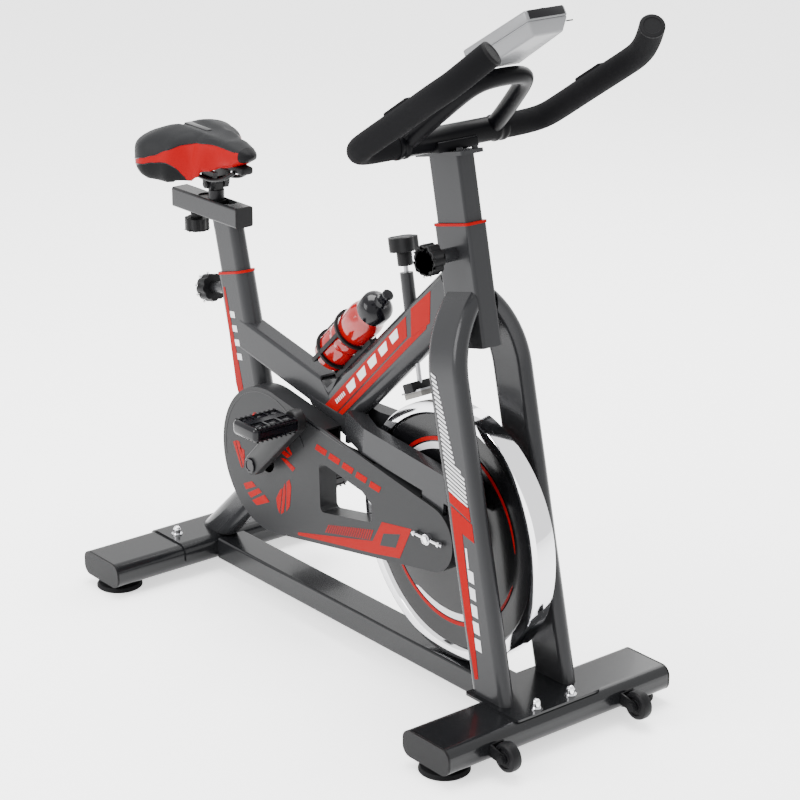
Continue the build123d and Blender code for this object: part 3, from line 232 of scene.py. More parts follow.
def cut(obj, tool):
    """Takes one object away from another."""
    modifier = obj.modifiers.new("cut", "BOOLEAN")
    modifier.operation = "DIFFERENCE"
    modifier.solver = "EXACT"
    modifier.object = tool
    bpy.ops.object.select_all(action="DESELECT")
    obj.select_set(True)
    bpy.context.view_layer.objects.active = obj
    bpy.ops.object.modifier_apply(modifier=modifier.name)
    bpy.data.objects.remove(tool)
    return obj


def join(objects, name):
    """Joins several meshes into one object."""
    bpy.ops.object.select_all(action="DESELECT")
    for obj in objects:
        obj.select_set(True)
    bpy.context.view_layer.objects.active = objects[0]
    bpy.ops.object.transform_apply(location=True, rotation=True, scale=True)
    bpy.ops.object.join()
    return start_mesh(name)


def cylinder(name, radius, depth, place, axis, vertices=64):
    """Cylinder centred at a place, along an axis."""
    bpy.ops.object.select_all(action="DESELECT")
    turn = Vector(axis).to_track_quat("Z", "Y").to_euler()
    bpy.ops.mesh.primitive_cylinder_add(
        vertices=vertices, radius=radius, depth=depth, location=place, rotation=turn
    )
    return start_mesh(name)


def cube(name, size, place, tilt=0.0):
    """Box of a given size; `tilt` leans it forward-up about the cross axis."""
    bpy.ops.object.select_all(action="DESELECT")
    bpy.ops.mesh.primitive_cube_add(size=1, location=place, rotation=(0, -tilt, 0))
    obj = start_mesh(name)
    obj.scale = size
    return obj


def turned(name, profile, place, axis, steps=96):
    """Solid of revolution: profile points are (radius, height along the axis)."""
    bpy.ops.object.select_all(action="DESELECT")
    bpy.ops.mesh.primitive_circle_add(vertices=len(profile), radius=1)
    obj = start_mesh(name)
    for vertex, (radius, height) in zip(obj.data.vertices, profile):
        vertex.co = (radius, 0, height)
    bpy.ops.object.mode_set(mode="EDIT")
    bpy.ops.mesh.select_all(action="SELECT")
    bpy.ops.mesh.spin(steps=steps, angle=2 * pi, center=(0, 0, 0), axis=(0, 0, 1))
    bpy.ops.mesh.select_all(action="SELECT")
    bpy.ops.mesh.remove_doubles(threshold=0.00002)
    bpy.ops.mesh.normals_make_consistent(inside=False)
    bpy.ops.object.mode_set(mode="OBJECT")
    obj.rotation_euler = Vector(axis).to_track_quat("Z", "Y").to_euler()
    obj.location = place
    return obj


def tube_along(name, points, radius, resolution=8):
    """Round tube along a smooth curve through control points."""
    curve = bpy.data.curves.new(name, "CURVE")
    curve.dimensions = "3D"
    spline = curve.splines.new("NURBS")
    spline.points.add(len(points) - 1)
    for target, point in zip(spline.points, points):
        target.co = (*point, 1.0)
    spline.order_u = 4
    spline.use_endpoint_u = True
    curve.resolution_u = 12
    curve.bevel_depth = radius
    curve.bevel_resolution = resolution
    curve.use_fill_caps = True
    obj = bpy.data.objects.new(name, curve)
    bpy.context.collection.objects.link(obj)
    bpy.ops.object.select_all(action="DESELECT")
    obj.select_set(True)
    bpy.context.view_layer.objects.active = obj
    bpy.ops.object.convert(target="MESH")
    bpy.ops.object.mode_set(mode="EDIT")
    bpy.ops.mesh.select_all(action="SELECT")
    bpy.ops.mesh.remove_doubles(threshold=0.00002)
    bpy.ops.mesh.normals_make_consistent(inside=False)
    bpy.ops.object.mode_set(mode="OBJECT")
    return start_mesh(name)


# ---------------------------------------------------------------- frame details
def soften_cad_edges():
    """Small rounded edges on the hard CAD boxes, as a live modifier."""
    for name in ("stabiliser_brackets", "bar_mount_plate", "axle_stays", "guard_outer", "seat_rail",
                 "seat_rail_caps"):
        modifier = NODES[name].modifiers.new("soft_edges", "BEVEL")
        modifier.width = 0.0012
        modifier.segments = 2
        modifier.limit_method = "ANGLE"
        modifier.angle_limit = radians(50)


def build_junction():
    """Closed ends where the beam, the down tube and the stays meet, and the brake's block."""
    infill = printed("beam_end", ((-92, 450), (-66, 439), (-36, 466), (-60, 426)), on_side(0), 0.0372)
    settle(bevel_now(infill, 0.001), frame_paint, "frame")
    bracket = printed(
        "stay_bracket", ((-122, 414), (-9, 402), (44, 374), (30, 354), (-107, 397)), on_side(0), 0.041
    )
    settle(bevel_now(bracket, 0.002), frame_paint, "frame")
    normal = Vector((-sin(radians(25)), 0, cos(radians(25))))
    block = cube("brake_block", (0.026, 0.04, 0.016), AXLE + normal * 0.2395, radians(25))
    settle(bevel_now(block, 0.002), black_plastic, "brake")


# ---------------------------------------------------------------- printed shapes
# Outlines in millimetres, forward and up, on the flat sides of the guard and the tubes.
GUARD_BLADES = (
    ((-289, 286), (-282, 290), (-262, 244), (-267, 246)),
    ((-280, 291), (-271, 292), (-256, 261), (-259, 246)),
    ((-270, 282), (-256, 280), (-255, 264)),
    ((-154, 310), (-144, 316), (-119, 310), (-129, 303)),
    ((-142, 325), (-132, 331), (-115, 316), (-117, 311)),
    ((-147, 298), (-133, 300), (-107, 291), (-114, 283)),
    ((-260, 216), (-235, 228), (-223, 222), (-253, 207)),
    ((-248, 202), (-215, 221), (-206, 216), (-238, 196)),
    ((-235, 192), (-198, 214), (-183, 205), (-221, 187)),
    ((-163, 218), (-151, 238), (-144, 243), (-154, 193), (-160, 202)),
    ((-142, 243), (-137, 255), (-135, 238), (-142, 199), (-150, 193)),
    ((-132, 258), (-124, 265), (-119, 254), (-124, 216), (-134, 203)),
    ((-238, 343), (-224, 359), (-217, 360), (-218, 351)),
    ((-212, 360), (-199, 362), (-197, 360), (-212, 353)),
)
GUARD_TAPER = ((-101, 175), (105, 227), (130, 269), (206, 281), (176, 220), (114, 207), (-101, 170))
GUARD_HOLE = ((134, 250), (178, 263), (166, 235), (125, 226))
DOWN_RED = (
    ((-72, 406), (144, 617), (147, 583), (-39, 403)),
    ((-35, 403), (148, 579), (196, 615), (195, 609), (-26, 400)),
    ((157, 633), (205, 674), (204, 621), (158, 587)),
)
FORK_RED = (
    ((324, 389), (372, 376), (377, 354), (327, 372)),
    ((329, 367), (380, 351), (386, 322), (357, 329), (363, 294), (377, 219), (384, 190), (399, 95), (391, 92),
     (370, 172), (354, 248), (338, 318)),
)
FORK_LINE = ((364, 307), (368, 307), (374, 275), (370, 274))
FORK_FRONT_EDGE = ((573, 287), (494, 318), (442, 338), (433, 360), (379, 371))
FORK_REAR_EDGE = ((573, 279), (517, 293), (475, 304), (395, 323))


def printed(name, outline, to_space, thickness=0.0003):
    """Thin printed patch: outline points (u, v) laid in a plane by `to_space`."""
    bpy.ops.object.select_all(action="DESELECT")
    bpy.ops.mesh.primitive_circle_add(vertices=len(outline), radius=1, fill_type="NGON")
    obj = start_mesh(name)
    for vertex, (u, v) in zip(obj.data.vertices, outline):
        vertex.co = to_space(u, v)
    solid = obj.modifiers.new("film", "SOLIDIFY")
    solid.thickness = thickness
    solid.offset = 0
    bpy.ops.object.modifier_apply(modifier="film")
    return obj


def printed_group(name, shapes, mat, body, to_space):
    """Several printed patches of one colour as one piece."""
    patches = [printed(name, outline, to_space) for outline in shapes]
    return settle(join(patches, name), mat, body)


def on_side(y):
    """Upright plane at y, measured in millimetres forward and up."""
    return lambda u, v: (u / 1000, y, v / 1000)


def repeated(first, last, count):
    """Outlines stepped evenly from the first to the last."""
    rows = []
    for index in range(count):
        share = index / (count - 1)
        rows.append([
            (a[0] + (b[0] - a[0]) * share, a[1] + (b[1] - a[1]) * share) for a, b in zip(first, last)
        ])
    return rows


def edge_at(points, height):
    """Place along a broken line of (height, place) pairs that runs downward."""
    for (h0, x0), (h1, x1) in zip(points, points[1:]):
        if height >= h1:
            return x0 + (x1 - x0) * min(max((h0 - height) / (h0 - h1), 0), 1)
    return points[-1][1]


def print_guard():
    """Red blades round the crank, slanted bars along the top, the taper with its block, and a thin line of
    painted shade where the guard has a groove.
    """
    face = on_side(GUARD_FACE - 0.0003)
    printed_group("guard_blades", GUARD_BLADES, decal_red, "frame", face)
    bars = repeated(
        ((-44, 354), (-16, 350), (-22, 339), (-50, 343)), ((101, 332), (128, 329), (122, 318), (96, 321)), 5
    )
    printed_group("guard_top_bars", bars, bright_red, "frame", face)
    hatch = repeated(
        ((-14, 217), (-11, 218), (-21, 201), (-24, 200)), ((104, 247), (107, 247), (98, 227), (95, 226)), 20
    )
    printed_group("guard_hatch", hatch + [GUARD_TAPER], decal_red, "frame", face)
    printed_group("guard_block_hole", [GUARD_HOLE], guard_plastic, "frame", on_side(GUARD_FACE - 0.0006))
    # Thin gloss-black line round the crank and along the top edge: painted shade standing in for the dark
    # inside of a moulded groove, which is not modelled.
    groove = []
    inner = 0.1215
    for index in range(31):
        first = radians(28 + 162 * index / 31)
        last = radians(28 + 162 * (index + 1) / 31)
        groove.append([
            (1000 * (CRANK.x + radius * cos(angle)), 1000 * (CRANK.z + radius * sin(angle)))
            for radius,
            angle in ((inner, first), (inner + 0.0016, first), (inner + 0.0016, last), (inner, last))
        ])
    groove.append([(-115, 394.5), (30, 371), (30, 369), (-115, 392)])
    printed_group("guard_groove_shade", groove, gloss_black, "frame", face)


def print_tubes():
    """Stripes and hatches on the tubes of the frame, both sides alike."""
    hatch = []
    for index in range(26):
        rear_height = 572 - 7.1 * index
        rear = edge_at(FORK_REAR_EDGE, rear_height)
        front = edge_at(FORK_FRONT_EDGE, rear_height - 8)
        drop = (front - rear) * 0.33
        hatch.append([
            (rear, rear_height), (front, rear_height - drop), (front, rear_height - drop - 3.6),
            (rear, rear_height - 3.6),
        ])
    for side, word in ((-1, "right"), (1, "left")):
        down = on_side(side * 0.0193)
        printed_group("down_tube_red_" + word, DOWN_RED, decal_red, "frame", down)
        bars = repeated(
            ((-12, 457), (9, 478), (14, 463), (-2, 447)), ((102, 572), (122, 592), (126, 577), (111, 562)), 5
        )
        bars += repeated(((-42, 424), (-40, 426), (-35, 421), (-37, 419)),
            ((-21, 444), (-19, 446), (-14, 441), (-16, 439)), 6)
        printed_group("down_tube_bars_" + word, bars, decal_white, "frame", on_side(side * 0.0196))
        seat = on_side(side * 0.0188)
        stripe = ((-363, 545), (-358, 546), (-304, 350), (-318, 330), (-322, 352), (-331, 375), (-343, 438))
        printed_group("seat_tube_red_" + word, [stripe], decal_red, "frame", seat)
        bars = repeated(
            ((-345, 505), (-332, 507), (-329, 496), (-342, 494)),
            ((-326, 432), (-313, 434), (-310, 423), (-323, 421)), 4
        )
        printed_group("seat_tube_bars_" + word, bars, decal_white, "frame", seat)
        fork = on_side(side * 0.0793)
        printed_group("fork_hatch_" + word, hatch, decal_white, "frame", fork)
        printed_group("fork_red_" + word, FORK_RED, bright_red, "frame", fork)
        bars = repeated(
            ((370, 273), (384, 272), (387, 253), (374, 254)),
            ((389, 163), (403, 163), (407, 143), (393, 144)), 5
        )
        printed_group("fork_bars_" + word, bars + [FORK_LINE], decal_white, "frame", fork)


# ---------------------------------------------------------------- flywheel and wheels
def build_flywheel():
    """Polished rim with rounded edges and dark dished discs, on the CAD wheel's size."""
    half = (FLYWHEEL_HIGH.y - FLYWHEEL_LOW.y) / 2
    rim_in = FLYWHEEL_R - 0.019
    rim = turned("flywheel_rim", [
        (rim_in, -half + 0.002), (rim_in + 0.002, -half), (FLYWHEEL_R - 0.003, -half),
        (FLYWHEEL_R - 0.0008, -half + 0.001), (FLYWHEEL_R, -half + 0.004), (FLYWHEEL_R, half - 0.004),
        (FLYWHEEL_R - 0.0008, half - 0.001), (FLYWHEEL_R - 0.003, half), (rim_in + 0.002, half),
        (rim_in, half - 0.002), (rim_in - 0.003, half - 0.006), (rim_in - 0.003, -half + 0.006),
    ], AXLE, (0, 1, 0), 192)
    settle(rim, chrome, "flywheel")
    web = half - 0.005
    disc = turned("flywheel_disc", [
        (0.014, -half), (0.026, -half), (0.028, -half + 0.002), (0.03, -web + 0.002), (0.06, -web + 0.002),
        (0.075, -web), (0.15, -web), (0.158, -web + 0.0015), (0.166, -web), (rim_in - 0.0005, -web),
        (rim_in - 0.0005, web), (0.166, web), (0.158, web - 0.0015), (0.15, web), (0.075, web),
        (0.06, web - 0.002), (0.03, web - 0.002), (0.028, half - 0.002), (0.026, half), (0.014, half),
    ], AXLE, (0, 1, 0), 192)
    settle(disc, disc_black, "flywheel", "flywheel")
    for side, word in ((-1, "right"), (1, "left")):
        for name, inner, outer, start, sweep, mat in (
            ("red_arc_a", 0.152, 0.158, 5, 165, decal_red),
            ("red_arc_b", 0.152, 0.158, 195, 150, decal_red),
            ("silver_arc_a", 0.138, 0.149, 60, 80, decal_white),
            ("silver_arc_b", 0.138, 0.149, 235, 80, decal_white),
        ):
            steps = 40
            outline = []
            for index in range(steps + 1):
                angle = radians(start + sweep * index / steps)
                outline.append((outer * cos(angle), outer * sin(angle)))
            for index in range(steps, -1, -1):
                share = index / steps
                angle = radians(start + sweep * share)
                radius = outer - (outer - inner) * sin(pi * share) ** 0.4 - 0.0005
                outline.append((radius * cos(angle), radius * sin(angle)))
            place = lambda u, v: (AXLE.x + u, side * (web + 0.0003), AXLE.z + v)
            patch = printed("flywheel_" + name + "_" + word, outline, place)
            settle(patch, mat, "flywheel")


def build_transport_wheels():
    """Rounded wheels with a hub step and a groove."""
    for word in ("right", "left"):
        node = "transport_wheel_" + word
        low, high = (Vector(v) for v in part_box(node))
        middle = (low + high) / 2
        radius = (high.x - low.x) / 2
        half = (high.y - low.y) / 2
        wheel = turned("roller_" + word, [
            (0.00405, -half), (0.011, -half), (0.012, -half + 0.002), (0.0155, -half + 0.002),
            (0.0165, -half + 0.0003), (radius - 0.004, -half + 0.0003), (radius - 0.001, -half + 0.0025),
            (radius, -half + 0.006), (radius, half - 0.006), (radius - 0.001, half - 0.0025),
            (radius - 0.004, half - 0.0003), (0.0165, half - 0.0003), (0.0155, half - 0.002),
            (0.012, half - 0.002), (0.011, half), (0.00405, half),
        ], middle, (0, 1, 0), 72)
        settle(wheel, black_plastic, node, node)


def build_feet():
    """Rubber pads with a rounded skirt, a groove and a metal stem."""
    for name in ("foot_front_right", "foot_front_left", "foot_rear_right", "foot_rear_left"):
        low, high = (Vector(v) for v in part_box(name))
        centre = Vector(((low.x + high.x) / 2, (low.y + high.y) / 2, 0))
        radius = (high.x - low.x) / 2
        pad = turned(name + "_pad", [
            (0, 0), (radius - 0.002, 0), (radius, 0.0015), (radius, 0.004), (radius - 0.0012, 0.0052),
            (radius - 0.0012, 0.006), (radius - 0.003, 0.0085), (radius - 0.012, 0.0112), (0.016, 0.0125),
            (0.0145, 0.0132), (0.014, 0.0148), (0, 0.0148),
        ], centre, (0, 0, 1), 72)
        settle(pad, rubber, name)
        stem = cylinder(name + "_stem", 0.005, high.z - 0.0146,
            centre + Vector((0, 0, (high.z + 0.0146) / 2)), (0, 0, 1), 32)
        nut = cylinder(name + "_nut", 0.0095, 0.0026, centre + Vector((0, 0, 0.0161)), (0, 0, 1), 6)
        both = join([bevel_now(nut, 0.0006), stem], name + "_stem")
        settle(both, steel, name, name)


def bevel_now(obj, width, segments=2, angle=35):
    """Bevel applied at once."""
    bevel(obj, width, segments, angle)
    bpy.ops.object.select_all(action="DESELECT")
    obj.select_set(True)
    bpy.context.view_layer.objects.active = obj
    bpy.ops.object.transform_apply(location=True, rotation=True, scale=True)
    bpy.ops.object.modifier_apply(modifier="bevel")
    return obj


# ---------------------------------------------------------------- knobs
def lobed_knob(name, radius, height, place, axis, lobes=9, neck=0.011, neck_height=0.01):
    """Moulded hand knob: rounded lobes, a dished cap and a neck towards the tube."""
    bpy.ops.object.select_all(action="DESELECT")
    bpy.ops.mesh.primitive_cylinder_add(vertices=lobes * 12, radius=radius, depth=height)
    knob = start_mesh(name)
    for vertex in knob.data.vertices:
        flat = Vector((vertex.co.x, vertex.co.y))
        angle = flat.angle_signed(Vector((1, 0)), 0) if vertex.co.length > 0 else 0
        scale = 1.0 - 0.11 * (0.5 - 0.5 * cos(lobes * angle)) ** 2
        vertex.co.x *= scale
        vertex.co.y *= scale
    bpy.ops.object.mode_set(mode="EDIT")
    bpy.ops.mesh.select_all(action="DESELECT")
    bpy.ops.object.mode_set(mode="OBJECT")
    for face in knob.data.polygons:
        face.select = face.normal.z > 0.9
    bpy.ops.object.mode_set(mode="EDIT")
    bpy.ops.mesh.inset(thickness=radius * 0.3)
    bpy.ops.transform.translate(value=(0, 0, -height * 0.12))
    bpy.ops.mesh.inset(thickness=radius * 0.08)
    bpy.ops.transform.translate(value=(0, 0, height * 0.1))
    bpy.ops.object.mode_set(mode="OBJECT")
    bevel_now(knob, min(0.003, height * 0.16), 4)
    stub = cylinder(name + "_neck", neck, neck_height, (0, 0, -height / 2 - neck_height / 2 + 0.0005),
        (0, 0, 1), 48)
    bevel_now(stub, 0.0012)
    whole = join([knob, stub], name)
    whole.rotation_euler = Vector(axis).to_track_quat("Z", "Y").to_euler()
    whole.location = place
    return whole


def build_knobs():
    """The four hand knobs, each on its own CAD knob."""
    out = Vector((-cos(SEAT_LEAN), 0, -sin(SEAT_LEAN)))
    origin = Vector((-0.3477, 0, 0.5716)) - Vector((-sin(SEAT_LEAN), 0, cos(SEAT_LEAN))) * 0.025
    knob = lobed_knob("seat_hand_knob", 0.0249, 0.022, origin + out * 0.089, out)
    settle(knob, black_plastic, "seat_knob", "seat_knob")
    low, high = (Vector(v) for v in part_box("head_knob"))
    centre = (low + high) / 2
    knob = lobed_knob("head_hand_knob", 0.0249, 0.022, Vector((centre.x, low.y + 0.011, centre.z)),
        (0, -1, 0), 10)
    settle(knob, black_plastic, "head_knob", "head_knob")
    low, high = (Vector(v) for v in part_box("slider_knob"))
    centre = (low + high) / 2
    knob = lobed_knob("slider_hand_knob", 0.0219, 0.022, Vector((centre.x, 0, low.z + 0.011)), (0, 0, -1), 8)
    settle(knob, black_plastic, "slider_knob", "slider_knob")
    up = Vector((-sin(BRAKE_LEAN), 0, cos(BRAKE_LEAN)))
    centre = Vector((0.1128, 0, 0.731))
    knob = lobed_knob("brake_hand_knob", 0.0249, 0.023, centre - up * 0.004, up, 5, 0.0125, 0.024)
    settle(knob, black_plastic, "brake_knob", "brake_knob")


# ---------------------------------------------------------------- pedals
def build_pedals():
    """Platform pedals: rounded core on the spindle with pockets and edge grooves, and two rows of rubber
    tread ridges on each face.
    """
    for word, side in (("right", -1), ("left", 1)):
        node = "pedal_" + word
        low, high = (Vector(v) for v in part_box(node))
        centre = (low + high) / 2
        size = high - low
        bpy.ops.object.select_all(action="DESELECT")
        body = cube(node + "_body", (size.x, size.y, size.z), centre)
        bevel_now(body, 0.008, 5)
        for face in (-1, 1):
            for offset in (-0.0175, 0.0175):
                for step in (-1, 0, 1):
                    place = centre + Vector((offset, step * 0.027, face * size.z / 2))
                    cut(body, bevel_now(cube("pocket", (0.02, 0.023, 0.007), place), 0.002))
        for edge in (-1, 1):
            for level in (-0.0062, 0.0062):
                place = centre + Vector((edge * size.x / 2, 0, level))
                cut(body, bevel_now(cube("groove", (0.008, size.y - 0.022, 0.0045), place), 0.0012))
        hole = cylinder("hole", 0.00705, size.y - 0.005, centre - Vector((0, side * 0.003, 0)), (0, 1, 0), 48)
        cut(body, hole)
        settle(body, gloss_black, node, node)
        ridges = []
        for edge in (-1, 1):
            for face in (-1, 1):
                for step in range(9):
                    place = centre + Vector((edge * 0.0285, (step - 4) * 0.0095,
                        face * (size.z / 2 - 0.0004)))
                    ridges.append(cube("ridge", (0.006, 0.003, 0.0012), place))
        treads = join(ridges, node + "_tread")
        settle(treads, rubber, node)


def build_crank_arms():
    """Wedge-shaped cast arms, broad at the pedal, with round dust caps on their bosses."""
    arms_low, arms_high = (Vector(v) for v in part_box("crank_arms"))
    for side in (-1, 1):
        along = Vector((-side * cos(CRANK_ANGLE), -side * sin(CRANK_ANGLE)))
        across = Vector((along.y, -along.x))
        outline = [(18 * cos(radians(a)), 18 * sin(radians(a))) for a in range(90, 271, 12)]
        outline += [(164 + 20 * cos(radians(a)), 5 + 20 * sin(radians(a))) for a in range(-90, 91, 12)]
        face = arms_low.y if side < 0 else arms_high.y

        def to_space(u, v):
            place = along * (u / 1000) + across * (v / 1000)
            return (CRANK.x + place.x, face - side * 0.01, CRANK.z + place.y)

        arm = bevel_now(printed("crank_arm", outline, to_space, 0.02), 0.003, 4)
        if side < 0:
            settle(arm, arm_metal, "crank", "crank_arms")
        else:
            settle(arm, arm_metal, "crank")
    for word, face, side in (("right", arms_low.y, -1), ("left", arms_high.y, 1)):
        cap = turned("crank_cap_" + word, [
            (0, 0), (0.0135, 0), (0.0135, 0.0025), (0.0125, 0.0034), (0.0095, 0.0034), (0.009, 0.0022),
            (0, 0.0022),
        ], (CRANK.x, face, CRANK.z), (0, side, 0), 64)
        settle(cap, gloss_black, "crank")


# ---------------------------------------------------------------- saddle
SADDLE_BACK = SADDLE_LOW.x
SADDLE_NOSE = SADDLE_HIGH.x
SADDLE_LONG = SADDLE_NOSE - SADDLE_BACK
SADDLE_HALF = (SADDLE_HIGH.y - SADDLE_LOW.y) / 2


def curve_value(points, x):
    """Smooth value through (x, value) points."""
    for (x0, v0), (x1, v1) in zip(points, points[1:]):
        if x <= x1:
            share = min(max((x - x0) / (x1 - x0), 0), 1)
            share = share * share * (3 - 2 * share)
            return v0 + (v1 - v0) * share
    return points[-1][1]


# Along the saddle from its back (0) to its nose (1): half width, top and skirt heights, colour seams.
HALF_WIDTH = ((0.0, 0.8), (0.1, 0.95), (0.24, 1.0), (0.42, 0.84), (0.6, 0.5), (0.78, 0.31), (0.92, 0.26),
    (1.0, 0.25))
TOP_HEIGHT = ((0.0, 0.79), (0.12, 0.806), (0.33, 0.8165), (0.6, 0.815), (0.8, 0.812), (0.92, 0.808),
    (1.0, 0.803))
SKIRT_HEIGHT = ((0.0, 0.742), (0.12, 0.728), (0.31, 0.719), (0.42, 0.717), (0.55, 0.724), (0.68, 0.7455),
    (0.82, 0.765), (0.95, 0.7745), (1.0, 0.777))
TOP_SEAM = ((0.0, 0.758), (0.15, 0.757), (0.28, 0.766), (0.35, 0.7726), (0.45, 0.785), (0.52, 0.7955),
    (0.6, 0.8), (0.68, 0.801), (0.78, 0.799), (0.9, 0.795), (1.0, 0.79))
LOW_SEAM = ((0.0, 0.748), (0.15, 0.748), (0.27, 0.754), (0.35, 0.7594), (0.45, 0.763), (0.5, 0.7556),
    (0.53, 0.7434), (0.56, 0.726), (0.6, 0.704), (1.0, 0.702))


def build_saddle():
    """Padded saddle: shaped blank stuffed as cloth, then its slot and its seams."""
    bpy.ops.object.select_all(action="DESELECT")
    bpy.ops.mesh.primitive_uv_sphere_add(segments=128, ring_count=96, radius=1, rotation=(0, pi / 2, 0))
    bpy.ops.object.transform_apply(location=False, rotation=True, scale=False)
    pad = start_mesh("saddle_pad_cover")
    for vertex in pad.data.vertices:
        x, y, z = vertex.co
        along = 0.5 + 0.5 * x
        ring = max(sqrt(y * y + z * z), 1e-6)
        end = (1 - min(abs(x), 1.0) ** 7) ** 0.5
        half = curve_value(HALF_WIDTH, along) * SADDLE_HALF * 0.985 * end
        across = abs(y) / ring
        top = curve_value(TOP_HEIGHT, along)
        skirt = curve_value(SKIRT_HEIGHT, along)
        middle = (top + skirt) / 2
        if z > 0:
            share = across ** 0.7
            valley = (
                0.007 * max(0.0, 1 - (share * half / 0.024) ** 2)
                * min(1.0, along * 6) * min(1.0, (1 - along) * 4)
            )
            crown = 0.007 * share ** 2
            height = middle + (top - crown - middle) * end * (abs(z) / ring) ** 0.62 - valley
        else:
            share = across ** 0.35
            height = middle - (middle - skirt) * end * (abs(z) / ring) ** 0.35
            inside = min(1.0, max(0.0, (0.86 - share) / 0.12))
            height += max(0.0, 0.762 - height) * inside
        width = share * half
        vertex.co = (SADDLE_BACK + 0.003 + (SADDLE_LONG - 0.006) * along, width if y > 0 else -width, height)
    remesh = pad.modifiers.new("remesh", "REMESH")
    remesh.mode = "VOXEL"
    remesh.voxel_size = 0.0042
    bpy.ops.object.modifier_apply(modifier="remesh")
    bpy.ops.object.mode_set(mode="EDIT")
    bpy.ops.mesh.select_all(action="SELECT")
    bpy.ops.mesh.vertices_smooth(factor=0.5, repeat=3)
    bpy.ops.object.mode_set(mode="OBJECT")
    stuff(pad, 4.0, 20, 0.0025)
    dense = pad.modifiers.new("dense", "SUBSURF")
    dense.levels = 1
    bpy.ops.object.modifier_apply(modifier="dense")
    for vertex in pad.data.vertices:
        vertex.co.z = min(max(vertex.co.z, SADDLE_LOW.z), SADDLE_HIGH.z)
    settle(pad, saddle_cover_material(), "saddle", "saddle_pad", angle=60)
    found, spot, _, _ = pad.ray_cast(Vector((-0.454, 0.0, 0.9)), Vector((0, 0, -1)))
    slot = cube("saddle_slot", (0.068, 0.014, 0.003), (-0.454, 0, spot.z if found else 0.808), -0.03)
    bevel_now(slot, 0.0013, 4)
    settle(slot, gloss_black, "saddle")
    under = cube("saddle_under_nose", (0.052, 0.026, 0.014), (SADDLE_NOSE - 0.048, 0, 0.762), -0.08)
    settle(bevel_now(under, 0.005, 4), black_plastic, "saddle", "saddle_shell")
    for side, word in ((-1, "right"), (1, "left")):
        for name, seam in (("upper", TOP_SEAM), ("lower", LOW_SEAM)):
            route = []
            for step in range(48):
                along = 0.07 + 0.82 * step / 47
                height = curve_value(seam, along)
                place = Vector((SADDLE_BACK + SADDLE_LONG * along, side * 0.2, height))
                found, spot, _, _ = pad.ray_cast(place, Vector((0, -side, 0)))
                if found and height > curve_value(SKIRT_HEIGHT, along) + 0.004:
                    route.append(spot)
            seam_cord = tube_along("saddle_seam_" + name + "_" + word, route, 0.0008, 3)
            settle(seam_cord, gloss_black, "saddle")


def stuff(obj, pressure, frames, limit):
    """Blows a closed cover up as cloth, never further than `limit` from where it was."""
    before = [vertex.co.copy() for vertex in obj.data.vertices]
    cloth = obj.modifiers.new("stuffing", "CLOTH")
    cloth.settings.use_pressure = True
    cloth.settings.uniform_pressure_force = pressure
    cloth.settings.effector_weights.gravity = 0
    cloth.settings.tension_stiffness = 40
    cloth.settings.compression_stiffness = 40
    cloth.settings.bending_stiffness = 2
    cloth.point_cache.frame_end = frames
    for moment in range(1, frames + 1):
        bpy.context.scene.frame_set(moment)
    bpy.ops.object.modifier_apply(modifier="stuffing")
    bpy.context.scene.frame_set(1)
    for vertex, old in zip(obj.data.vertices, before):
        move = vertex.co - old
        if move.length > limit:
            vertex.co = old + move.normalized() * limit


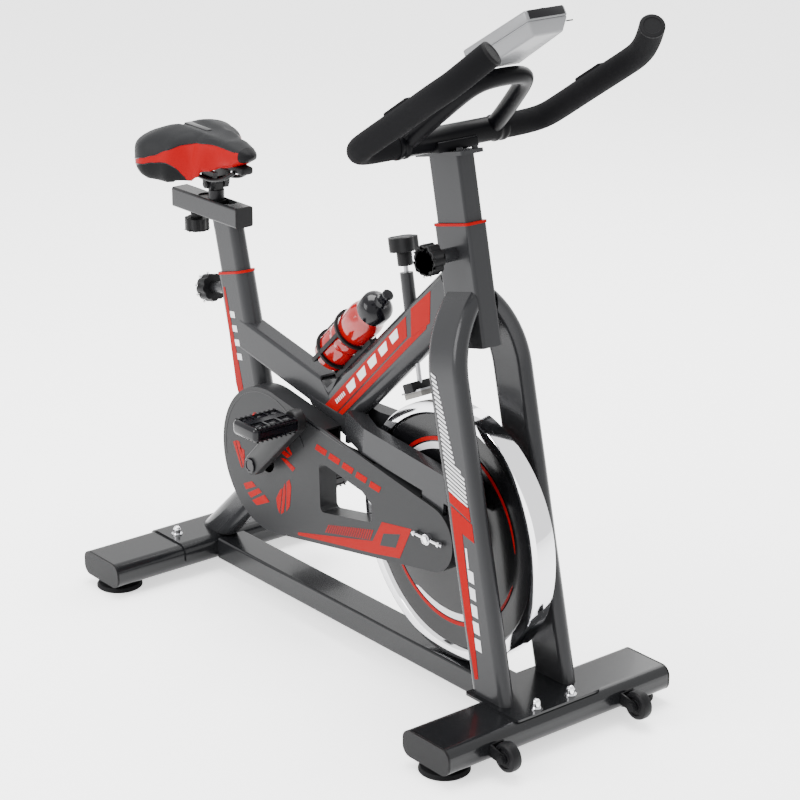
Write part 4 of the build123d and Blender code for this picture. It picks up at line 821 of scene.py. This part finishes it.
def saddle_cover_material():
    """Grey top panels, red side swoosh and dark rear side, split by height along the saddle."""
    mat = grain(new_material("saddle_cover", (0.0105, 0.0108, 0.0115), 0.5, 0.0, 0.0, 0.06), 900.0, 0.25,
        0.42, 0.58)
    tree = mat.node_tree
    shader = tree.nodes["Principled BSDF"]
    coords = tree.nodes.new("ShaderNodeTexCoord")
    split = tree.nodes.new("ShaderNodeSeparateXYZ")
    tree.links.new(coords.outputs["Object"], split.inputs["Vector"])

    def line(points):
        """Height of a seam against the place along the saddle."""
        share = tree.nodes.new("ShaderNodeMapRange")
        share.inputs["From Min"].default_value = SADDLE_BACK
        share.inputs["From Max"].default_value = SADDLE_NOSE
        ramp = tree.nodes.new("ShaderNodeFloatCurve")
        curve = ramp.mapping.curves[0]
        curve.points[0].location = (0.0, (points[0][1] - 0.7) / 0.15)
        curve.points[1].location = (1.0, (points[-1][1] - 0.7) / 0.15)
        for place, height in points[1:-1]:
            curve.points.new(place, (height - 0.7) / 0.15)
        ramp.mapping.update()
        back = tree.nodes.new("ShaderNodeMapRange")
        back.inputs["To Min"].default_value = 0.7
        back.inputs["To Max"].default_value = 0.85
        tree.links.new(split.outputs["X"], share.inputs["Value"])
        tree.links.new(share.outputs["Result"], ramp.inputs["Value"])
        tree.links.new(ramp.outputs["Value"], back.inputs["Value"])
        return back.outputs["Result"]

    def above(seam):
        """1 above a seam, 0 below it."""
        test = tree.nodes.new("ShaderNodeMath")
        test.operation = "GREATER_THAN"
        tree.links.new(split.outputs["Z"], test.inputs[0])
        tree.links.new(seam, test.inputs[1])
        return test.outputs["Value"]

    top_seam = line(TOP_SEAM)
    low_seam = line(LOW_SEAM)
    mix_red = tree.nodes.new("ShaderNodeMix")
    mix_red.data_type = "RGBA"
    mix_red.inputs["A"].default_value = (0.004, 0.0042, 0.0045, 1)
    mix_red.inputs["B"].default_value = (0.2, 0.0, 0.0012, 1)
    mix_top = tree.nodes.new("ShaderNodeMix")
    mix_top.data_type = "RGBA"
    mix_top.inputs["B"].default_value = (0.0105, 0.0108, 0.0115, 1)
    mix_nose = tree.nodes.new("ShaderNodeMix")
    mix_nose.data_type = "RGBA"
    mix_nose.inputs["B"].default_value = (0.004, 0.004, 0.0045, 1)
    nose = tree.nodes.new("ShaderNodeMath")
    nose.operation = "GREATER_THAN"
    nose.inputs[1].default_value = SADDLE_NOSE - 0.024
    tree.links.new(split.outputs["X"], nose.inputs[0])
    tree.links.new(above(low_seam), mix_red.inputs["Factor"])
    tree.links.new(above(top_seam), mix_top.inputs["Factor"])
    tree.links.new(mix_red.outputs["Result"], mix_top.inputs["A"])
    tree.links.new(mix_top.outputs["Result"], mix_nose.inputs["A"])
    tree.links.new(nose.outputs["Value"], mix_nose.inputs["Factor"])
    tree.links.new(mix_nose.outputs["Result"], shader.inputs["Base Color"])
    return mat


# ---------------------------------------------------------------- handlebar
BAR_X, BAR_Z = 0.224, 0.9215
HORN_ANGLE = radians(32.4)
ARCH_ANGLE = radians(42.0)
HORN = Vector((cos(HORN_ANGLE), 0, sin(HORN_ANGLE)))
HORN_UP = Vector((-sin(HORN_ANGLE), 0, cos(HORN_ANGLE)))
HORN_Y = 0.188
GRIP_R = 0.0195


def grip_route(side):
    """Control points of one foam grip, from the casting out to the tip."""
    start = Vector((BAR_X, 0, BAR_Z))
    out = Vector((0, side, 0))
    return [
        start + out * 0.107, start + out * 0.135, start + out * 0.166 + HORN * 0.002,
        start + out * 0.1885 + HORN * 0.014, start + out * 0.1895 + HORN * 0.055,
        start + out * HORN_Y + HORN * 0.11, start + out * HORN_Y + HORN * 0.18,
        start + out * (HORN_Y + 0.001) + HORN * 0.235, start + out * (HORN_Y - 0.004) + HORN * 0.268,
        Vector((0.475, side * 0.172, BAR_Z + 0.168)), Vector((0.497, side * 0.1555, BAR_Z + 0.191)),
    ]


def arch_point(rise, across):
    """Point of the arch: distance up its slope and across the bar."""
    return (BAR_X + rise * cos(ARCH_ANGLE), across, BAR_Z + rise * sin(ARCH_ANGLE))


def build_handlebar():
    """Foam grips with raised pads and end caps, and the black casting with its arch and clamp."""
    for side, word in ((-1, "right"), (1, "left")):
        route = grip_route(side)
        grip = tube_along("foam_grip_" + word, route, GRIP_R, 10)
        pad_place = Vector((BAR_X, side * HORN_Y, BAR_Z)) + HORN * 0.145 + HORN_UP * (GRIP_R - 0.002)
        pad = cube("pulse_pad", (0.062, 0.02, 0.008), pad_place, HORN_ANGLE)
        bevel_now(pad, 0.0035, 4)
        whole = join([grip, pad], "foam_grip_" + word)
        if side < 0:
            settle(whole, foam, "handlebar", "foam_grips", angle=50)
        else:
            settle(whole, foam, "handlebar", angle=50)
        cap = turned("grip_cap_" + word, [
            (0, -0.002), (GRIP_R * 0.98, -0.002), (GRIP_R, -0.0005), (GRIP_R, 0.002), (GRIP_R * 0.92, 0.0038),
            (GRIP_R * 0.7, 0.0042), (GRIP_R * 0.66, 0.0034), (0, 0.0034),
        ], route[-1], (route[-1] - route[-2]).normalized(), 64)
        settle(cap, rubber, "handlebar")
    casting = turned("bar_casting", [
        (0, -0.108), (0.0208, -0.108), (0.0214, -0.1065), (0.0214, -0.101), (0.0198, -0.0995),
        (0.0198, -0.094),
        (0.0212, -0.0925), (0.0212, -0.088), (0.0192, -0.086), (0.0192, 0.086), (0.0212, 0.088),
        (0.0212, 0.0925),
        (0.0198, 0.094), (0.0198, 0.0995), (0.0214, 0.101), (0.0214, 0.1065), (0.0208, 0.108), (0, 0.108),
    ], (BAR_X, 0, BAR_Z), (0, 1, 0), 64)
    half = [(-0.006, 0.086), (0.025, 0.084), (0.07, 0.0755), (0.11, 0.0665), (0.14, 0.059), (0.163, 0.047),
        (0.171, 0.02)]
    route = [arch_point(rise, across) for rise, across in half]
    route += [arch_point(rise, -across) for rise, across in reversed(half)]
    arch = tube_along("arch", route, 0.0138, 8)
    clamp_top = Vector((-sin(HEAD_LEAN), 0, cos(HEAD_LEAN)))
    seat = Vector((BAR_X, 0, BAR_Z)) - clamp_top * 0.0125
    clamp = cube("clamp", (0.046, 0.08, 0.0165), seat, HEAD_LEAN)
    bevel_now(clamp, 0.003, 3)
    settle(join([casting, arch, clamp], "bar_casting"), casting_black, "handlebar", "handlebar_core",
        angle=50)
    ribs = []
    for side in (-1, 1):
        for step in range(3):
            foot = Vector(arch_point(0.016 + 0.009 * step, side * (0.1 - 0.0045 * step)))
            rib = cube("rib", (0.034, 0.0025, 0.005), foot, ARCH_ANGLE)
            rib.rotation_euler.z = -side * radians(28)
            ribs.append(bevel_now(rib, 0.0008))
    settle(join(ribs, "casting_ribs"), casting_black, "handlebar")


def console_space(forward, across, height):
    """Point in the console: forward along its top, across, and above its top face."""
    top = Vector((0.4343, 0, 1.1506))
    slope = Vector((cos(CONSOLE_ANGLE), 0, sin(CONSOLE_ANGLE)))
    normal = Vector((-sin(CONSOLE_ANGLE), 0, cos(CONSOLE_ANGLE)))
    return top + slope * forward + Vector((0, across, 0)) + normal * height


def console_slab(name, top_outline, low_outline, top_height, low_height):
    """Box whose top and bottom are different trapezoids: (rear, rear half, front, front half)."""
    slab = cube(name, (1, 1, 1), (0, 0, 0))
    for vertex in slab.data.vertices:
        rear, rear_half, front, front_half = top_outline if vertex.co.z > 0 else low_outline
        forward, half = (front, front_half) if vertex.co.x > 0 else (rear, rear_half)
        height = top_height if vertex.co.z > 0 else low_height
        vertex.co = console_space(forward, half if vertex.co.y > 0 else -half, height)
    return slab


def build_console():
    """Silver housing: flat-sided upper half, bevelled lower half, recess and dark front strip."""
    wide = (-0.1405, 0.0535, -0.0005, 0.0385)
    upper = bevel_now(console_slab("console_housing", wide, wide, -0.0003, -0.0175), 0.0035, 4)
    recess = cube("recess", (0.0986, 0.0706, 0.005), console_space(-0.078, 0, 0), CONSOLE_ANGLE)
    cut(upper, bevel_now(recess, 0.001))
    button_well = cylinder("well", 0.009, 0.014, console_space(-0.014, 0, 0),
        console_space(0, 0, 1) - console_space(0, 0, 0))
    cut(upper, button_well)
    low = bevel_now(
        console_slab("console_base", wide, (-0.132, 0.036, -0.012, 0.029), -0.0172, -0.0375), 0.0035, 4
    )
    settle(join([upper, low], "console_housing"), silver_plastic, "handlebar", "console_shell")
    strip = console_slab(
        "console_strip", (-0.004, 0.0345, 0.0006, 0.034), (-0.004, 0.0345, 0.0006, 0.034), -0.0012, -0.0145
    )
    settle(bevel_now(strip, 0.0009), gloss_black, "handlebar")
    lead = cylinder("console_lead", 0.0011, 0.012, console_space(-0.006, 0.0425, -0.024), (0, 1, 0), 24)
    settle(lead, gloss_black, "handlebar")


def build_bottle():
    """Translucent bottle with grip rings, and its dark cap with a drinking nozzle."""
    axis = Vector((cos(DOWN_ANGLE), 0, sin(DOWN_ANGLE)))
    base = Vector((-0.0775, 0, 0.4905))
    body = turned("bottle_body", [
        (0, 0.003), (0.02, 0.001), (0.028, 0), (0.0315, 0.0025), (0.0324, 0.007), (0.0324, 0.05),
        (0.0305, 0.054),
        (0.0305, 0.058), (0.0324, 0.062), (0.0324, 0.07), (0.0305, 0.074), (0.0305, 0.078), (0.0324, 0.082),
        (0.0324, 0.128), (0.031, 0.136), (0.0275, 0.143), (0.0262, 0.147), (0.0262, 0.151), (0, 0.151),
    ], base, axis, 96)
    settle(body, bottle_red, "bottle", "bottle")
    cap = turned("bottle_screw_cap", [
        (0, 0.1512), (0.0275, 0.1512), (0.028, 0.153), (0.028, 0.171), (0.0268, 0.1745), (0.02, 0.181),
        (0.0125, 0.1845), (0.0115, 0.187), (0.0115, 0.193), (0.0088, 0.1945), (0.0088, 0.203),
        (0.0098, 0.2055),
        (0.0098, 0.2095), (0.008, 0.2115), (0, 0.2118),
    ], base, axis, 96)
    settle(cap, gloss_black, "bottle", "bottle_cap")


# ---------------------------------------------------------------- stage
def build_stage():
    """Pale floor, soft lights and the camera."""
    bpy.ops.object.select_all(action="DESELECT")
    bpy.ops.mesh.primitive_plane_add(size=60, location=(0, 0, 0))
    floor = start_mesh("floor")
    paint = new_material("floor_paint", (0.93, 0.93, 0.93), 0.8, specular=0.1)
    paint.node_tree.nodes["Principled BSDF"].inputs["Emission Color"].default_value = (1, 1, 1, 1)
    paint.node_tree.nodes["Principled BSDF"].inputs["Emission Strength"].default_value = 1.1
    floor.data.materials.append(paint)
    world = bpy.data.worlds.new("studio")
    bpy.context.scene.world = world
    world.use_nodes = True
    background = world.node_tree.nodes["Background"]
    background.inputs["Color"].default_value = (1.0, 1.0, 1.0, 1.0)
    background.inputs["Strength"].default_value = 2.0
    for name, place, size, power in (
        ("key", (-0.6, -3.4, 2.2), 2.2, 170),
        ("top", (-0.4, 0.3, 3.6), 2.0, 220),
        ("back", (-1.0, 2.8, 2.2), 2.0, 50),
    ):
        light = bpy.data.lights.new(name, "AREA")
        light.size = size
        light.energy = power
        lamp = bpy.data.objects.new(name, light)
        bpy.context.collection.objects.link(lamp)
        lamp.location = place
        lamp.rotation_euler = (Vector((0, 0, 0.5)) - Vector(place)).to_track_quat("-Z", "Y").to_euler()
    azimuth, elevation = radians(51.009), radians(19.767)
    back = Vector((sin(azimuth) * cos(elevation), -cos(azimuth) * cos(elevation), sin(elevation)))
    right = Vector((cos(azimuth), sin(azimuth), 0))
    up = back.cross(right)
    lens = bpy.data.cameras.new("camera")
    lens.lens = 108.67
    lens.sensor_width = 36
    camera = bpy.data.objects.new("camera", lens)
    bpy.context.collection.objects.link(camera)
    turn = Matrix((right, up, back)).transposed().to_4x4()
    camera.matrix_world = Matrix.Translation((2.9792, -2.32592, 1.78945)) @ turn
    bpy.context.scene.camera = camera


clothe_cad_nodes()
soften_cad_edges()
build_flywheel()
build_transport_wheels()
build_feet()
build_knobs()
build_pedals()
build_crank_arms()
build_saddle()
build_handlebar()
build_console()
build_bottle()
build_junction()
print_guard()
print_tubes()
build_stage()
